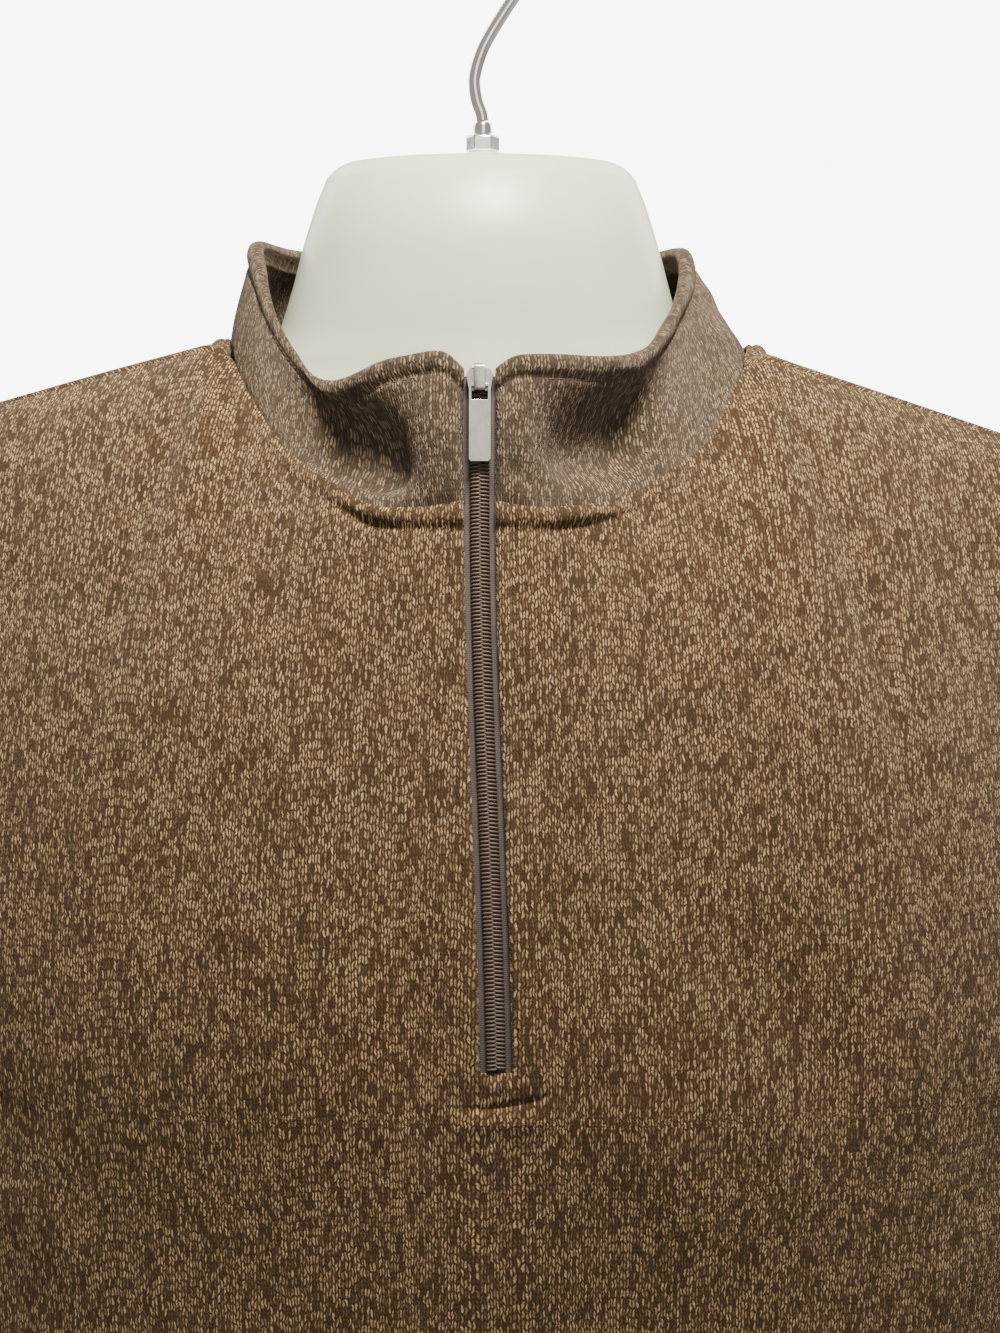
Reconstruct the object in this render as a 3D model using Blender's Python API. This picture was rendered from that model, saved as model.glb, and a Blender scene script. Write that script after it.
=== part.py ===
"""Quarter-zip sweater worn on a limbless torso form.

Metres, +Z up. The front faces -Y, +X is the wearer's left, and the origin is the middle of the form's base.
The tables are in millimetres and are read through MM.
"""
import math
from collections import namedtuple

import bmesh
import bpy
from mathutils import Matrix, Vector

MM = 0.001

# Cloth and seams
CLOTH = 2.2 * MM
COLLAR_CLOTH = 4.4 * MM
SEAM_GAP = 0.4 * MM
ARMHOLE_OUT = 0.55
ARMHOLE_OUT_TURN = 0.35

# The collar's folded edge, as shares of its thickness
COLLAR_CREST_RISE = 0.2
COLLAR_EDGE_DROP = 0.15
COLLAR_CREASE = 60
METAL_CREASE = 30

# Heights
HEM_Z = 45 * MM
ARMPIT_Z = 490 * MM
NECK_TOP_Z = 816.5 * MM

# Zip
SLIT_HALF = 5.2 * MM
ZIP_DROP_X = 5.7 * MM
ZIP_TOP_X = -2.3 * MM
ZIP_FOOT_Z = 506 * MM
ZIP_HEAD_Z = 737 * MM
CHAIN_HALF = 3.1 * MM
CHAIN_FRONT = -0.4 * MM
CHAIN_BACK = -2.1 * MM
TAPE_FRONT = -3.0 * MM
TAPE_BACK = -3.6 * MM
TAPE_HALF = 9.5 * MM
TAPE_HALF_IN_COLLAR = 4.8 * MM
TAPE_MIDDLE_GAP = 0.2 * MM

# Slider and pull tab, measured from the tab's hinge line
SLIDER_RISE = 0.877
SLIDER_TILT = math.radians(13)
SLIDER_TOP = 6.2 * MM
SLIDER_BOTTOM = -1.9 * MM
SLIDER_TOP_HALF = 4.5 * MM
SLIDER_BOTTOM_HALF = 3.7 * MM
SLIDER_FRONT = -1.15 * MM
SLIDER_BACK = -4.55 * MM
SLIDER_SLOPE = 2.4 * MM
SLIDER_CORNER = 1.2 * MM
HINGE_OUT = 2.35 * MM
CROWN_HALF = 1.85 * MM
CROWN_TOP = 7.2 * MM
CROWN_BOTTOM = -2.1 * MM
CROWN_INSIDE = 1.1 * MM
CROWN_OUTSIDE = 2.0 * MM
CROWN_LEG = 0.9 * MM
CROWN_ROOT = 0.5 * MM
CROWN_BEVEL = 0.6 * MM
CROWN_TOP_SLOPE = 1.4 * MM
CROWN_TOP_THICK = 2.6 * MM
TAB_HALF = 3.7 * MM
TAB_LENGTH = 27 * MM
TAB_THICK = 1.1 * MM
TAB_CORNER = 0.8 * MM
TAB_WINDOW_HALF = 2.7 * MM
TAB_WINDOW_LENGTH = 4.6 * MM

# Hook
WIRE_RADIUS = 2.25 * MM
NUT_HALF = 5.4 * MM
NUT_Z = (820.0 * MM, 826.3 * MM)
RING_RADIUS = 3.4 * MM
RING_Z = (826.6 * MM, 830.9 * MM)
HOOK_X = -1.8 * MM
HOOK_CENTRE = (-1 * MM, 905 * MM)
HOOK_RADIUS = 26 * MM
HOOK_START = math.radians(-28)
HOOK_END = math.radians(205)
HOOK_STEPS = 18

# Share of each panel half that the neck takes, and the turn at which the shoulder seam meets the collar
NECK_SHARE = 0.42
SHOULDER_TURN = 75.0
ROUNDNESS = 0.87

Section = namedtuple("Section", "z width front back")
BODY = [
    Section(45, 214, 116, 128),
    Section(85, 218, 119, 135.8),
    Section(150, 219, 121, 133),
    Section(260, 217, 124, 121),
    Section(390, 221, 132, 119),
    Section(490, 226, 137, 127),
]

# One row for each place round the neck: turn from the zip, the seam, the folded top edge and the bow between
Neck = namedtuple("Neck", "turn seam_x seam_y seam_z top_x top_y top_z bow")
NECK_LEFT = [
    Neck(0, 2.9, -97, 694, 2.9, -87, 737, 1),
    Neck(6, 10, -96.5, 693.3, 10, -86, 741, 1.5),
    Neck(16, 24, -95, 692, 24, -82, 741, 0),
    Neck(28, 41, -88, 694, 41, -73, 741, -4),
    Neck(39, 53, -80, 698, 53, -59, 744.5, -5),
    Neck(50, 65, -70, 705.6, 62, -44, 752, -2),
    Neck(62, 77, -57, 715, 67.5, -28, 762, 0),
    Neck(75, 91, -28, 741.5, 71.5, -10, 773, 1),
    Neck(95, 93, 8, 747, 73, 11, 785, 1),
    Neck(122, 81, 44, 743, 64, 40, 787, 5),
    Neck(152, 45, 72, 739, 37, 62, 788, 4),
    Neck(180, 0, 80, 738, -3, 69, 789, 3),
]
NECK_RIGHT = [
    Neck(0, -7.5, -97, 694, -7.5, -87, 737, 1),
    Neck(6, -14, -96.5, 693.5, -15, -86, 742.5, 2.5),
    Neck(15, -25, -95, 692, -29.5, -80, 741, 1),
    Neck(25, -39, -91.5, 693, -42, -71, 735.5, -5),
    Neck(35, -54, -84, 701, -53, -61, 733.5, -7),
    Neck(46, -66, -73, 709, -64, -50, 740, -1),
    Neck(60, -80, -54, 726, -76, -34, 759, 1),
    Neck(75, -91, -28, 745, -83, -14, 777, 1),
    Neck(95, -92.5, 8, 750, -86, 9, 787, 1),
    Neck(122, -81, 44, 744, -74, 40, 787, 4),
    Neck(152, -46, 72, 739, -43, 62, 788, 4),
    Neck(180, 0, 80, 738, -3, 69, 789, 3),
]

Tip = namedtuple("Tip", "x y z")
SHOULDER_TIP = {1: Tip(233, -10, 697), -1: Tip(-233, -10, 708)}

# How each column of a panel leaves the chest and how it arrives at its top edge
Rise = namedtuple("Rise", "share up_x up_y up_z over_x over_y over_z")
FRONT_RISE = [
    Rise(0, 0, 0, 200, 0, 50, 190),
    Rise(0.15, 0, -5, 210, 0, 65, 175),
    Rise(0.3, 0, -12, 240, -35, 95, 120),
    Rise(0.42, 0, -20, 270, -71, 132, 73),
    Rise(0.75, -50, -80, 240, -30, 150, 50),
    Rise(1, -150, -210, 240, 0, 200, 10),
]
BACK_RISE = [
    Rise(0, 0, 30, 240, 0, -75, 180),
    Rise(0.1, 0, 30, 240, -30, -85, 140),
    Rise(0.2, 0, 30, 240, -75, -100, 70),
    Rise(0.3, 0, 30, 250, -125, -110, 15),
    Rise(0.36, 0, 32, 260, -115, -155, -8),
    Rise(0.42, 0, 35, 270, -62, -200, -50),
    Rise(0.5, -8, 40, 265, -35, -214, -60),
    Rise(0.75, -40, 70, 250, -10, -220, -56),
    Rise(1, -130, 200, 250, 0, -220, -11),
]

Sleeve = namedtuple("Sleeve", "z centre depth thick sway")
SLEEVE = [
    Sleeve(425, 273, 84, 33, -4),
    Sleeve(375, 274, 80, 31, -5),
    Sleeve(325, 276, 75, 27, -7),
    Sleeve(290, 272, 74, 29, -9),
    Sleeve(230, 271, 66, 25, -10),
    Sleeve(150, 270, 55, 21, -11),
    Sleeve(85, 269, 45, 18, -12),
]

# How the sleeve's cloth leaves the armhole and arrives at its first hanging ring
ARMPIT_LEAVE = (48, 0, -12)
TIP_LEAVE = (150, 0, -47)
ARMPIT_ARRIVE = (0, 0, -65)
TIP_ARRIVE = (0, 0, -290)
CAP_SPREAD = 25 * MM

# Soft folds: the panel, where they run, and how far they stand out
Fold = namedtuple("Fold", "face share width low high height")
FOLDS = [
    Fold("front", 0.62, 0.10, 60, 380, 5),
    Fold("front", -0.70, 0.11, 60, 350, 5),
    Fold("front", 0.30, 0.10, 45, 260, 3),
    Fold("front", -0.34, 0.12, 45, 230, 3),
    Fold("back", 0.55, 0.12, 60, 420, 6),
    Fold("back", -0.50, 0.12, 60, 400, 6),
    Fold("back", 0.08, 0.12, 60, 330, 5),
]

# The torso form's rings: size, how pointed they are at the sides, and their sideways shift
Form = namedtuple("Form", "z width front back power shift")
FORM = [
    Form(0, 150, 80, 84, 0.87, 0),
    Form(7, 160, 89, 93, 0.87, 0),
    Form(120, 186, 101, 112, 0.87, 0),
    Form(260, 184, 104, 100, 0.87, 0),
    Form(390, 192, 112, 100, 0.87, 0),
    Form(490, 200, 118, 106, 0.87, 0),
    Form(570, 200, 112, 98, 0.87, 0),
    Form(630, 194, 97, 82, 1.05, 0),
    Form(670, 186, 83, 62, 1.2, -1),
    Form(695, 172, 72, 50, 1.5, -2),
    Form(708, 158, 66, 42, 1.65, -3),
    Form(718, 140, 62, 39, 1.8, -4),
    Form(726.2, 125, 60, 45, 1.7, -5.5),
    Form(731.6, 109, 59, 51, 1.55, -6.5),
    Form(735.6, 96, 58, 54, 1.45, -5),
    Form(739, 87, 58, 57, 1.3, -3),
    Form(745, 80, 60, 60, 1.15, -3),
    Form(752, 74.5, 60, 62, 1, -3),
    Form(768, 69.5, 60, 60, 1, -2.5),
    Form(785, 65, 57, 57, 1, -2.5),
    Form(801, 60, 53, 53, 1, -2.5),
    Form(811, 55.5, 49, 49, 1, -2.5),
    Form(815.5, 49, 43, 43, 1, -2.5),
    Form(816.5, 40, 34, 34, 1, -2.5),
]
FORM_COLUMNS = 32
BOSS_RADIUS = 8
BOSS_TOP_Z = 819.7 * MM

# The hook's stem, from the ring up to where its round end starts
Stem = namedtuple("Stem", "step x z")
STEM = [
    Stem(0, -1.8, 831.6),
    Stem(1, -2.3, 834.5),
    Stem(2, -3.9, 839),
    Stem(3, -4.8, 846.5),
    Stem(4, -2.9, 854.5),
    Stem(5, 0.6, 862),
    Stem(6, 8.9, 875),
    Stem(7, 16.5, 884.5),
]

BODY_ROWS = [0, 0.06, 0.16, 0.3, 0.46, 0.62, 0.77, 0.89]
YOKE_ROWS = [0, 0.09, 0.2, 0.32, 0.45, 0.58, 0.70, 0.81, 0.89, 0.935, 0.968, 1]
SLIT_ROW = len(BODY_ROWS) + 1
SHARES = [0, 0.06, 0.12, 0.18, 0.24, 0.30, 0.36, 0.42, 0.5, 0.59, 0.68, 0.77, 0.85, 0.93, 1]
NECK_COLUMNS = SHARES.index(NECK_SHARE) + 1
RIDGE_ROW_LIFT = {0.935: 1.4 * MM, 0.968: 2.6 * MM}
CAP_ROWS = [0, 0.12, 0.27, 0.45, 0.7]
COLLAR_RISES = [0, 0.2, 0.45, 0.7, 0.9]
TAPE_FOOT_RISE = 0.05
TAPE_HEAD_RISE = 0.98
CHAIN_FOOT_RISE = 0.094
CHAIN_HEAD_RISE = 0.815

CLOTH_COLOUR = (0.19, 0.13, 0.08)
COLLAR_COLOUR = (0.15, 0.10, 0.07)
TAPE_COLOUR = (0.07, 0.05, 0.045)
COIL_COLOUR = (0.08, 0.06, 0.05)
STEEL_COLOUR = (0.62, 0.61, 0.59)
CHROME_COLOUR = (0.8, 0.8, 0.8)
FORM_COLOUR = (0.78, 0.79, 0.72)


def read(table, key):
    """Return a table's row at key, on a smooth curve through its rows."""
    keys = [row[0] for row in table]
    last = len(table) - 2
    index = min(max(sum(1 for k in keys if k <= key) - 1, 0), last)
    before = table[max(index - 1, 0)]
    start = table[index]
    end = table[index + 1]
    after = table[min(index + 2, last + 1)]
    span = end[0] - start[0]
    u = min(max((key - start[0]) / span, 0), 1)
    values = []
    for column in range(len(start)):
        slope_in = (end[column] - before[column]) / (end[0] - before[0]) * span
        slope_out = (after[column] - start[column]) / (after[0] - start[0]) * span
        values.append(hermite(start[column], slope_in, end[column], slope_out, u))
    return type(start)(*values)


def hermite(start, leave, end, arrive, u):
    """Return the cubic from start to end that leaves and arrives with the given slopes."""
    u2 = u * u
    u3 = u2 * u
    first = start * (2 * u3 - 3 * u2 + 1) + leave * (u3 - 2 * u2 + u)
    return first + end * (3 * u2 - 2 * u3) + arrive * (u3 - u2)


def ease(value):
    """Return a smooth step from 0 to 1."""
    u = min(max(value, 0), 1)
    return u * u * (3 - 2 * u)


def zip_x(z):
    """Return how far the zip's middle line has drifted sideways at a height."""
    return ZIP_TOP_X + ZIP_DROP_X * ease((ZIP_HEAD_Z - z) / (ZIP_HEAD_Z - ZIP_FOOT_Z))


def fold_lift(face, hand, share, z):
    """Return how far the folds lift the cloth at a place."""
    lift = 0.0
    for fold in FOLDS:
        if fold.face == face:
            across = (hand * share - fold.share) / fold.width
            along = (z / MM - fold.low) / (fold.high - fold.low)
            if 0 < along < 1:
                lift += fold.height * MM * math.exp(-across * across) * math.sin(math.pi * along) ** 2
    return lift


def neck_row(hand, turn):
    """Return the neck's row at a turn from the zip, on the left (1) or right (-1)."""
    return read(NECK_LEFT if hand > 0 else NECK_RIGHT, turn)


def neck_seam(hand, turn):
    """Return the point of the neck seam at a turn from the zip."""
    row = neck_row(hand, turn)
    return Vector((row.seam_x, row.seam_y, row.seam_z)) * MM


def neck_turn(face, share):
    """Return the turn round the neck that a panel's column reaches."""
    if face == "front":
        return SHOULDER_TURN * share / NECK_SHARE
    return 180 - (180 - SHOULDER_TURN) * share / NECK_SHARE


def top_edge(face, hand, share):
    """Return the point of a panel's top edge: neck seam, then shoulder seam."""
    if share <= NECK_SHARE:
        return neck_seam(hand, neck_turn(face, share))
    along = (share - NECK_SHARE) / (1 - NECK_SHARE)
    return neck_seam(hand, SHOULDER_TURN).lerp(Vector(SHOULDER_TIP[hand]) * MM, along)


def body_point(face, hand, share, z):
    """Return a point of the body below the armpits."""
    row = read(BODY, z / MM)
    angle = share * math.pi / 2
    sine = math.sin(angle) ** ROUNDNESS
    cosine = max(math.cos(angle), 0) ** ROUNDNESS
    if face == "front":
        slit = SLIT_HALF
        x = hand * (slit + (row.width * MM - slit) * sine) + zip_x(z) * (1 - share)
        depth = -row.front * MM
    else:
        x = hand * row.width * MM * sine
        depth = row.back * MM
    lift = 1 + fold_lift(face, hand, share, z) / abs(depth)
    return Vector((x, depth * cosine * lift, z))


def yoke_point(face, hand, share, rise):
    """Return a point between the armpit line and the panel's top edge."""
    way = read(FRONT_RISE if face == "front" else BACK_RISE, share)
    start = body_point(face, hand, share, ARMPIT_Z)
    leave = Vector((hand * way.up_x, way.up_y, way.up_z)) * MM
    arrive = Vector((hand * way.over_x, way.over_y, way.over_z)) * MM
    return hermite(start, leave, top_edge(face, hand, share), arrive, rise)


def panel_columns(face):
    """Return the panel's columns from right to left as pairs of hand and share."""
    right = [(-1, share) for share in reversed(SHARES)]
    left = [(1, share) for share in SHARES]
    if face == "front":
        return right + left
    return right + left[1:]


def panel_grid(face):
    """Return a panel's outer points, row by row from the hem to the top edge."""
    columns = panel_columns(face)
    rows = []
    for part in BODY_ROWS:
        z = HEM_Z + (ARMPIT_Z - HEM_Z) * part
        rows.append([body_point(face, hand, share, z) for hand, share in columns])
    for rise in YOKE_ROWS:
        rows.append([yoke_point(face, hand, share, rise) for hand, share in columns])
    return rows


def edge_angles(edge):
    """Return each point's share of a half turn along one edge of the armhole."""
    walked = [0.0]
    for before, after in zip(edge, edge[1:]):
        walked.append(walked[-1] + (after - before).length)
    return [math.pi * length / walked[-1] for length in walked]


def sleeve_ring(hand, row, angle):
    """Return the point of a hanging sleeve's ring at an angle from its inner side."""
    x = hand * (row.centre - row.thick * math.cos(angle))
    return Vector((x, row.sway - row.depth * math.sin(angle), row.z)) * MM


def armhole(hand, front, back):
    """Return an armhole's points, up the front from the armpit and down the back, and their angles."""
    edge = -1 if hand > 0 else 0
    first = len(BODY_ROWS)
    front_edge = [row[edge] for row in front[first:]]
    back_edge = [row[edge] for row in reversed(back[first:])]
    angles = edge_angles(front_edge) + [math.pi + angle for angle in edge_angles(back_edge)[1:-1]]
    return front_edge + back_edge[1:-1], angles


def sleeve_grid(hand, points, angles):
    """Return a sleeve's outer points in rings from the armhole to the cuff."""
    rings = []
    for rise in CAP_ROWS:
        ring = []
        for start, angle in zip(points, angles):
            height = (1 - math.cos(angle)) / 2
            leave = Vector(ARMPIT_LEAVE).lerp(Vector(TIP_LEAVE), height) * MM
            leave.x *= hand
            leave.y = CAP_SPREAD * -math.sin(angle)
            arrive = Vector(ARMPIT_ARRIVE).lerp(Vector(TIP_ARRIVE), height) * MM
            ring.append(hermite(start, leave, sleeve_ring(hand, SLEEVE[0], angle), arrive, rise))
        rings.append(ring)
    for row in SLEEVE:
        rings.append([sleeve_ring(hand, row, angle) for angle in angles])
    return rings


def place(point):
    """Return a point's key, the same for points that lie together."""
    return tuple(round(value / (0.01 * MM)) for value in point)


def add_normals(grid, wrap, sign, total):
    """Add each cell's normal to the sums of its corners in total."""
    columns = len(grid[0])
    for low, high in zip(grid, grid[1:]):
        for c in range(columns if wrap else columns - 1):
            after = (c + 1) % columns
            corners = [low[c], low[after], high[after], high[c]]
            normal = (corners[2] - corners[0]).cross(corners[3] - corners[1]) * sign
            for corner in corners:
                key = place(corner)
                total[key] = total.get(key, Vector()) + normal


def inside(grid, total, thickness):
    """Return the grid's points moved in through the cloth."""
    return [[point - total[place(point)].normalized() * thickness for point in row] for row in grid]


def raised(grid, total, face):
    """Return a panel's outer points with the seam roll below the collar raised."""
    first = len(BODY_ROWS)
    columns = panel_columns(face)
    rows = [list(row) for row in grid]
    for index, rise in enumerate(YOKE_ROWS):
        lift = RIDGE_ROW_LIFT.get(rise, 0)
        row = grid[first + index]
        for c, (_, share) in enumerate(columns):
            if share < NECK_SHARE:
                rows[first + index][c] = row[c] + total[place(row[c])].normalized() * lift
    return rows


def drawn_back(edge, inner, closed=False):
    """Return a seam edge moved square off the seam, into the piece, by half the gap."""
    moved = []
    for index, point in enumerate(edge):
        before = edge[index - 1] if closed or index else point
        after = edge[(index + 1) % len(edge)] if closed or index + 1 < len(edge) else point
        along = (after - before).normalized()
        into = inner[index] - point
        into = (into - along * into.dot(along)).normalized()
        moved.append(point + into * SEAM_GAP / 2)
    return moved


def trimmed(rows, sides, top, bottom, wrap=False):
    """Return the rows with their seam edges drawn back."""
    rows = [list(row) for row in rows]
    if top:
        rows[-1] = drawn_back(rows[-1], rows[-2])
    if bottom:
        rows[0] = drawn_back(rows[0], rows[1], wrap)
    if sides:
        for edge, inner in ((0, 1), (-1, -2)):
            points = drawn_back([row[edge] for row in rows], [row[inner] for row in rows])
            for row, point in zip(rows, points):
                row[edge] = point
    return rows


def principled(name, colour, roughness, metallic):
    """Return a plain material."""
    material = bpy.data.materials.new(name)
    material.use_nodes = True
    shader = material.node_tree.nodes["Principled BSDF"]
    shader.inputs["Base Color"].default_value = (*colour, 1)
    shader.inputs["Roughness"].default_value = roughness
    shader.inputs["Metallic"].default_value = metallic
    return material


def add_object(name, points, faces, material, crease=50):
    """Return a new object from points and faces, shaded smooth between its creases."""
    mesh = bpy.data.meshes.new(name)
    mesh.from_pydata([tuple(point) for point in points], [], faces)
    build = bmesh.new()
    build.from_mesh(mesh)
    bmesh.ops.recalc_face_normals(build, faces=build.faces)
    build.to_mesh(mesh)
    build.free()
    mesh.shade_smooth()
    mesh.set_sharp_from_angle(angle=math.radians(crease))
    mesh.materials.append(material)
    made = bpy.data.objects.new(name, mesh)
    bpy.context.collection.objects.link(made)
    return made


def cloth_wall(name, outer, inner, wrap, skipped, material):
    """Build a closed wall between two grids, leaving out the skipped cells."""
    columns = len(outer[0])
    count = len(outer) * columns
    faces = []
    for r in range(len(outer) - 1):
        for c in range(columns if wrap else columns - 1):
            if (r, c) not in skipped:
                after = (c + 1) % columns
                faces.append((r * columns + c, r * columns + after, (r + 1) * columns + after, (r + 1) * columns + c))
    edges = {(face[i], face[(i + 1) % 4]) for face in faces for i in range(4)}
    backs = [tuple(index + count for index in reversed(face)) for face in faces]
    points = [point for row in outer + inner for point in row]
    rims = []
    for a, b in sorted(edges):
        if (b, a) not in edges:
            # Both pieces at a seam split their rims along the same diagonal, so that the rims stay parallel
            if points[a].z < points[b].z:
                rims += [(b, a, b + count), (a, a + count, b + count)]
            else:
                rims += [(b, a, a + count), (b, a + count, b + count)]
    return add_object(name, points, faces + backs + rims, material)


def loft(name, loops, material, crease=50):
    """Build a closed solid through loops of points, capped at both ends."""
    size = len(loops[0])
    faces = [tuple(range(size)), tuple((len(loops) - 1) * size + i for i in reversed(range(size)))]
    for r in range(len(loops) - 1):
        for i in range(size):
            after = (i + 1) % size
            faces.append((r * size + i, (r + 1) * size + i, (r + 1) * size + after, r * size + after))
    return add_object(name, [point for loop in loops for point in loop], faces, material, crease)


def build_body(cloth):
    """Build the front, the back and both sleeves from one set of points."""
    front = panel_grid("front")
    back = panel_grid("back")
    armholes = {hand: armhole(hand, front, back) for hand in (-1, 1)}
    sleeves = {hand: sleeve_grid(hand, *armholes[hand]) for hand in armholes}
    total = {}
    add_normals(front, False, 1, total)
    add_normals(back, False, -1, total)
    for hand, grid in sleeves.items():
        add_normals(grid, True, -hand, total)
    for hand, (points, angles) in armholes.items():
        for point, angle in zip(points, angles):
            out = hand * (ARMHOLE_OUT + ARMHOLE_OUT_TURN * math.cos(angle))
            total[place(point)] = Vector((out, -math.sin(angle), -math.cos(angle)))
    middle = len(SHARES) - 1
    slit = {(r, middle) for r in range(SLIT_ROW, len(front) - 1)}
    for face, grid, skipped in (("front", front, slit), ("back", back, set())):
        outer = trimmed(raised(grid, total, face), True, True, False)
        inner = trimmed(inside(grid, total, CLOTH), True, True, False)
        cloth_wall(face, outer, inner, False, skipped, cloth)
    for hand, grid in sleeves.items():
        outer = trimmed(grid, False, False, True, True)
        inner = trimmed(inside(grid, total, CLOTH), False, False, True, True)
        cloth_wall("sleeve_left" if hand > 0 else "sleeve_right", outer, inner, True, set(), cloth)


def collar_point(hand, turn, rise):
    """Return a point of the collar's outer face, from its seam to its folded edge."""
    row = neck_row(hand, turn)
    seam = Vector((row.seam_x, row.seam_y, row.seam_z)) * MM
    top = Vector((row.top_x, row.top_y, row.top_z)) * MM
    out = Vector((seam.x, seam.y, 0)).normalized()
    return seam.lerp(top, rise) + out * row.bow * MM * math.sin(math.pi * rise)


def collar_stations():
    """Return the collar's places as hand and turn, round the back from the right end to the left."""
    turns = [neck_turn("front", share) for share in SHARES[:NECK_COLUMNS]]
    turns += [neck_turn("back", share) for share in reversed(SHARES[:NECK_COLUMNS - 1])]
    right = [(-1, turn) for turn in turns]
    left = [(1, turn) for turn in reversed(turns[:-1])]
    return right + left


def build_collar(material):
    """Build the folded stand collar as one double wall with a rolled top edge."""
    stations = collar_stations()
    grid = [[collar_point(hand, turn, rise) for hand, turn in stations] for rise in COLLAR_RISES + [1]]
    total = {}
    add_normals(grid, False, -1, total)
    grid = trimmed(grid, False, False, True)
    loops = []
    for c, (hand, turn) in enumerate(stations):
        ins = [total[place(collar_point(hand, turn, rise))].normalized() for rise in COLLAR_RISES + [1]]
        ins[0] = Vector((ins[0].x, ins[0].y, 0)).normalized()
        outer = [row[c] for row in grid]
        inner = [point - normal * COLLAR_CLOTH for point, normal in zip(outer, ins)]
        up = (outer[-1] - outer[-2]).normalized()
        crest = (outer[-1] + inner[-1]) / 2 + up * COLLAR_CLOTH * COLLAR_CREST_RISE
        drop = up * COLLAR_CLOTH * COLLAR_EDGE_DROP
        outer[-1] = outer[-1] - drop
        inner[-1] = inner[-1] - drop
        loops.append(outer + [crest] + inner[::-1])
    return loft("collar", loops, material, COLLAR_CREASE)


def zip_path(rises, collar_rises):
    """Return the zip's middle line as points and outward normals, from its foot to the collar's top."""
    points = []
    for rise in rises:
        points.append((yoke_point("front", 1, 0, rise) + yoke_point("front", -1, 0, rise)) / 2)
    for rise in collar_rises:
        points.append((collar_point(1, 0, rise) + collar_point(-1, 0, rise)) / 2)
    path = []
    for index, point in enumerate(points):
        along = points[min(index + 1, len(points) - 1)] - points[max(index - 1, 0)]
        path.append((point, Vector((0, -along.z, along.y)).normalized()))
    return path


def strip_loop(point, normal, left, right, near, far):
    """Return a strip's rectangle across the zip's middle line."""
    corners = ((left, near), (right, near), (right, far), (left, far))
    return [point + Vector((across, 0, 0)) + normal * out for across, out in corners]


def build_zip(tape, coil):
    """Build the two tapes and the coil chain between them."""
    slit_rises = YOKE_ROWS[1:]
    path = zip_path([TAPE_FOOT_RISE] + slit_rises, COLLAR_RISES[1:] + [TAPE_HEAD_RISE])
    wide = len(slit_rises)
    for hand, name in ((1, "zip_tape_left"), (-1, "zip_tape_right")):
        loops = []
        for index, (point, normal) in enumerate(path):
            reach = TAPE_HALF if index < wide else TAPE_HALF_IN_COLLAR
            loops.append(strip_loop(point, normal, hand * TAPE_MIDDLE_GAP, hand * reach, TAPE_FRONT, TAPE_BACK))
        loft(name, loops, tape)
    path = zip_path([CHAIN_FOOT_RISE] + slit_rises[1:], COLLAR_RISES[1:-1] + [CHAIN_HEAD_RISE])
    loops = [strip_loop(p, n, -CHAIN_HALF, CHAIN_HALF, CHAIN_FRONT, CHAIN_BACK) for p, n in path]
    loft("zip_chain", loops, coil)


def outline_plate(name, outline, near, far, axis, material):
    """Build a plate from an outline of x and up, or of out and up, between two depths."""
    if axis == "out":
        loops = [[Vector((x, -depth, up)) for x, up in outline] for depth in (near, far)]
    else:
        loops = [[Vector((depth, -out, up)) for out, up in outline] for depth in (near, far)]
    return loft(name, loops, material, METAL_CREASE)


def combine(target, other, operation):
    """Join or cut one object with another, which becomes a hidden guide."""
    modifier = target.modifiers.new(operation.lower(), "BOOLEAN")
    modifier.operation = operation
    modifier.solver = "EXACT"
    modifier.object = other
    other.hide_render = True
    other.display_type = "WIRE"


def hinge_place():
    """Return the turned frame of the pull tab's hinge line."""
    middle = (collar_point(1, 0, SLIDER_RISE) + collar_point(-1, 0, SLIDER_RISE)) / 2
    turn = Matrix.Rotation(-SLIDER_TILT, 4, "X")
    return Matrix.Translation(middle + turn @ Vector((0, -HINGE_OUT, 0))) @ turn


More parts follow.
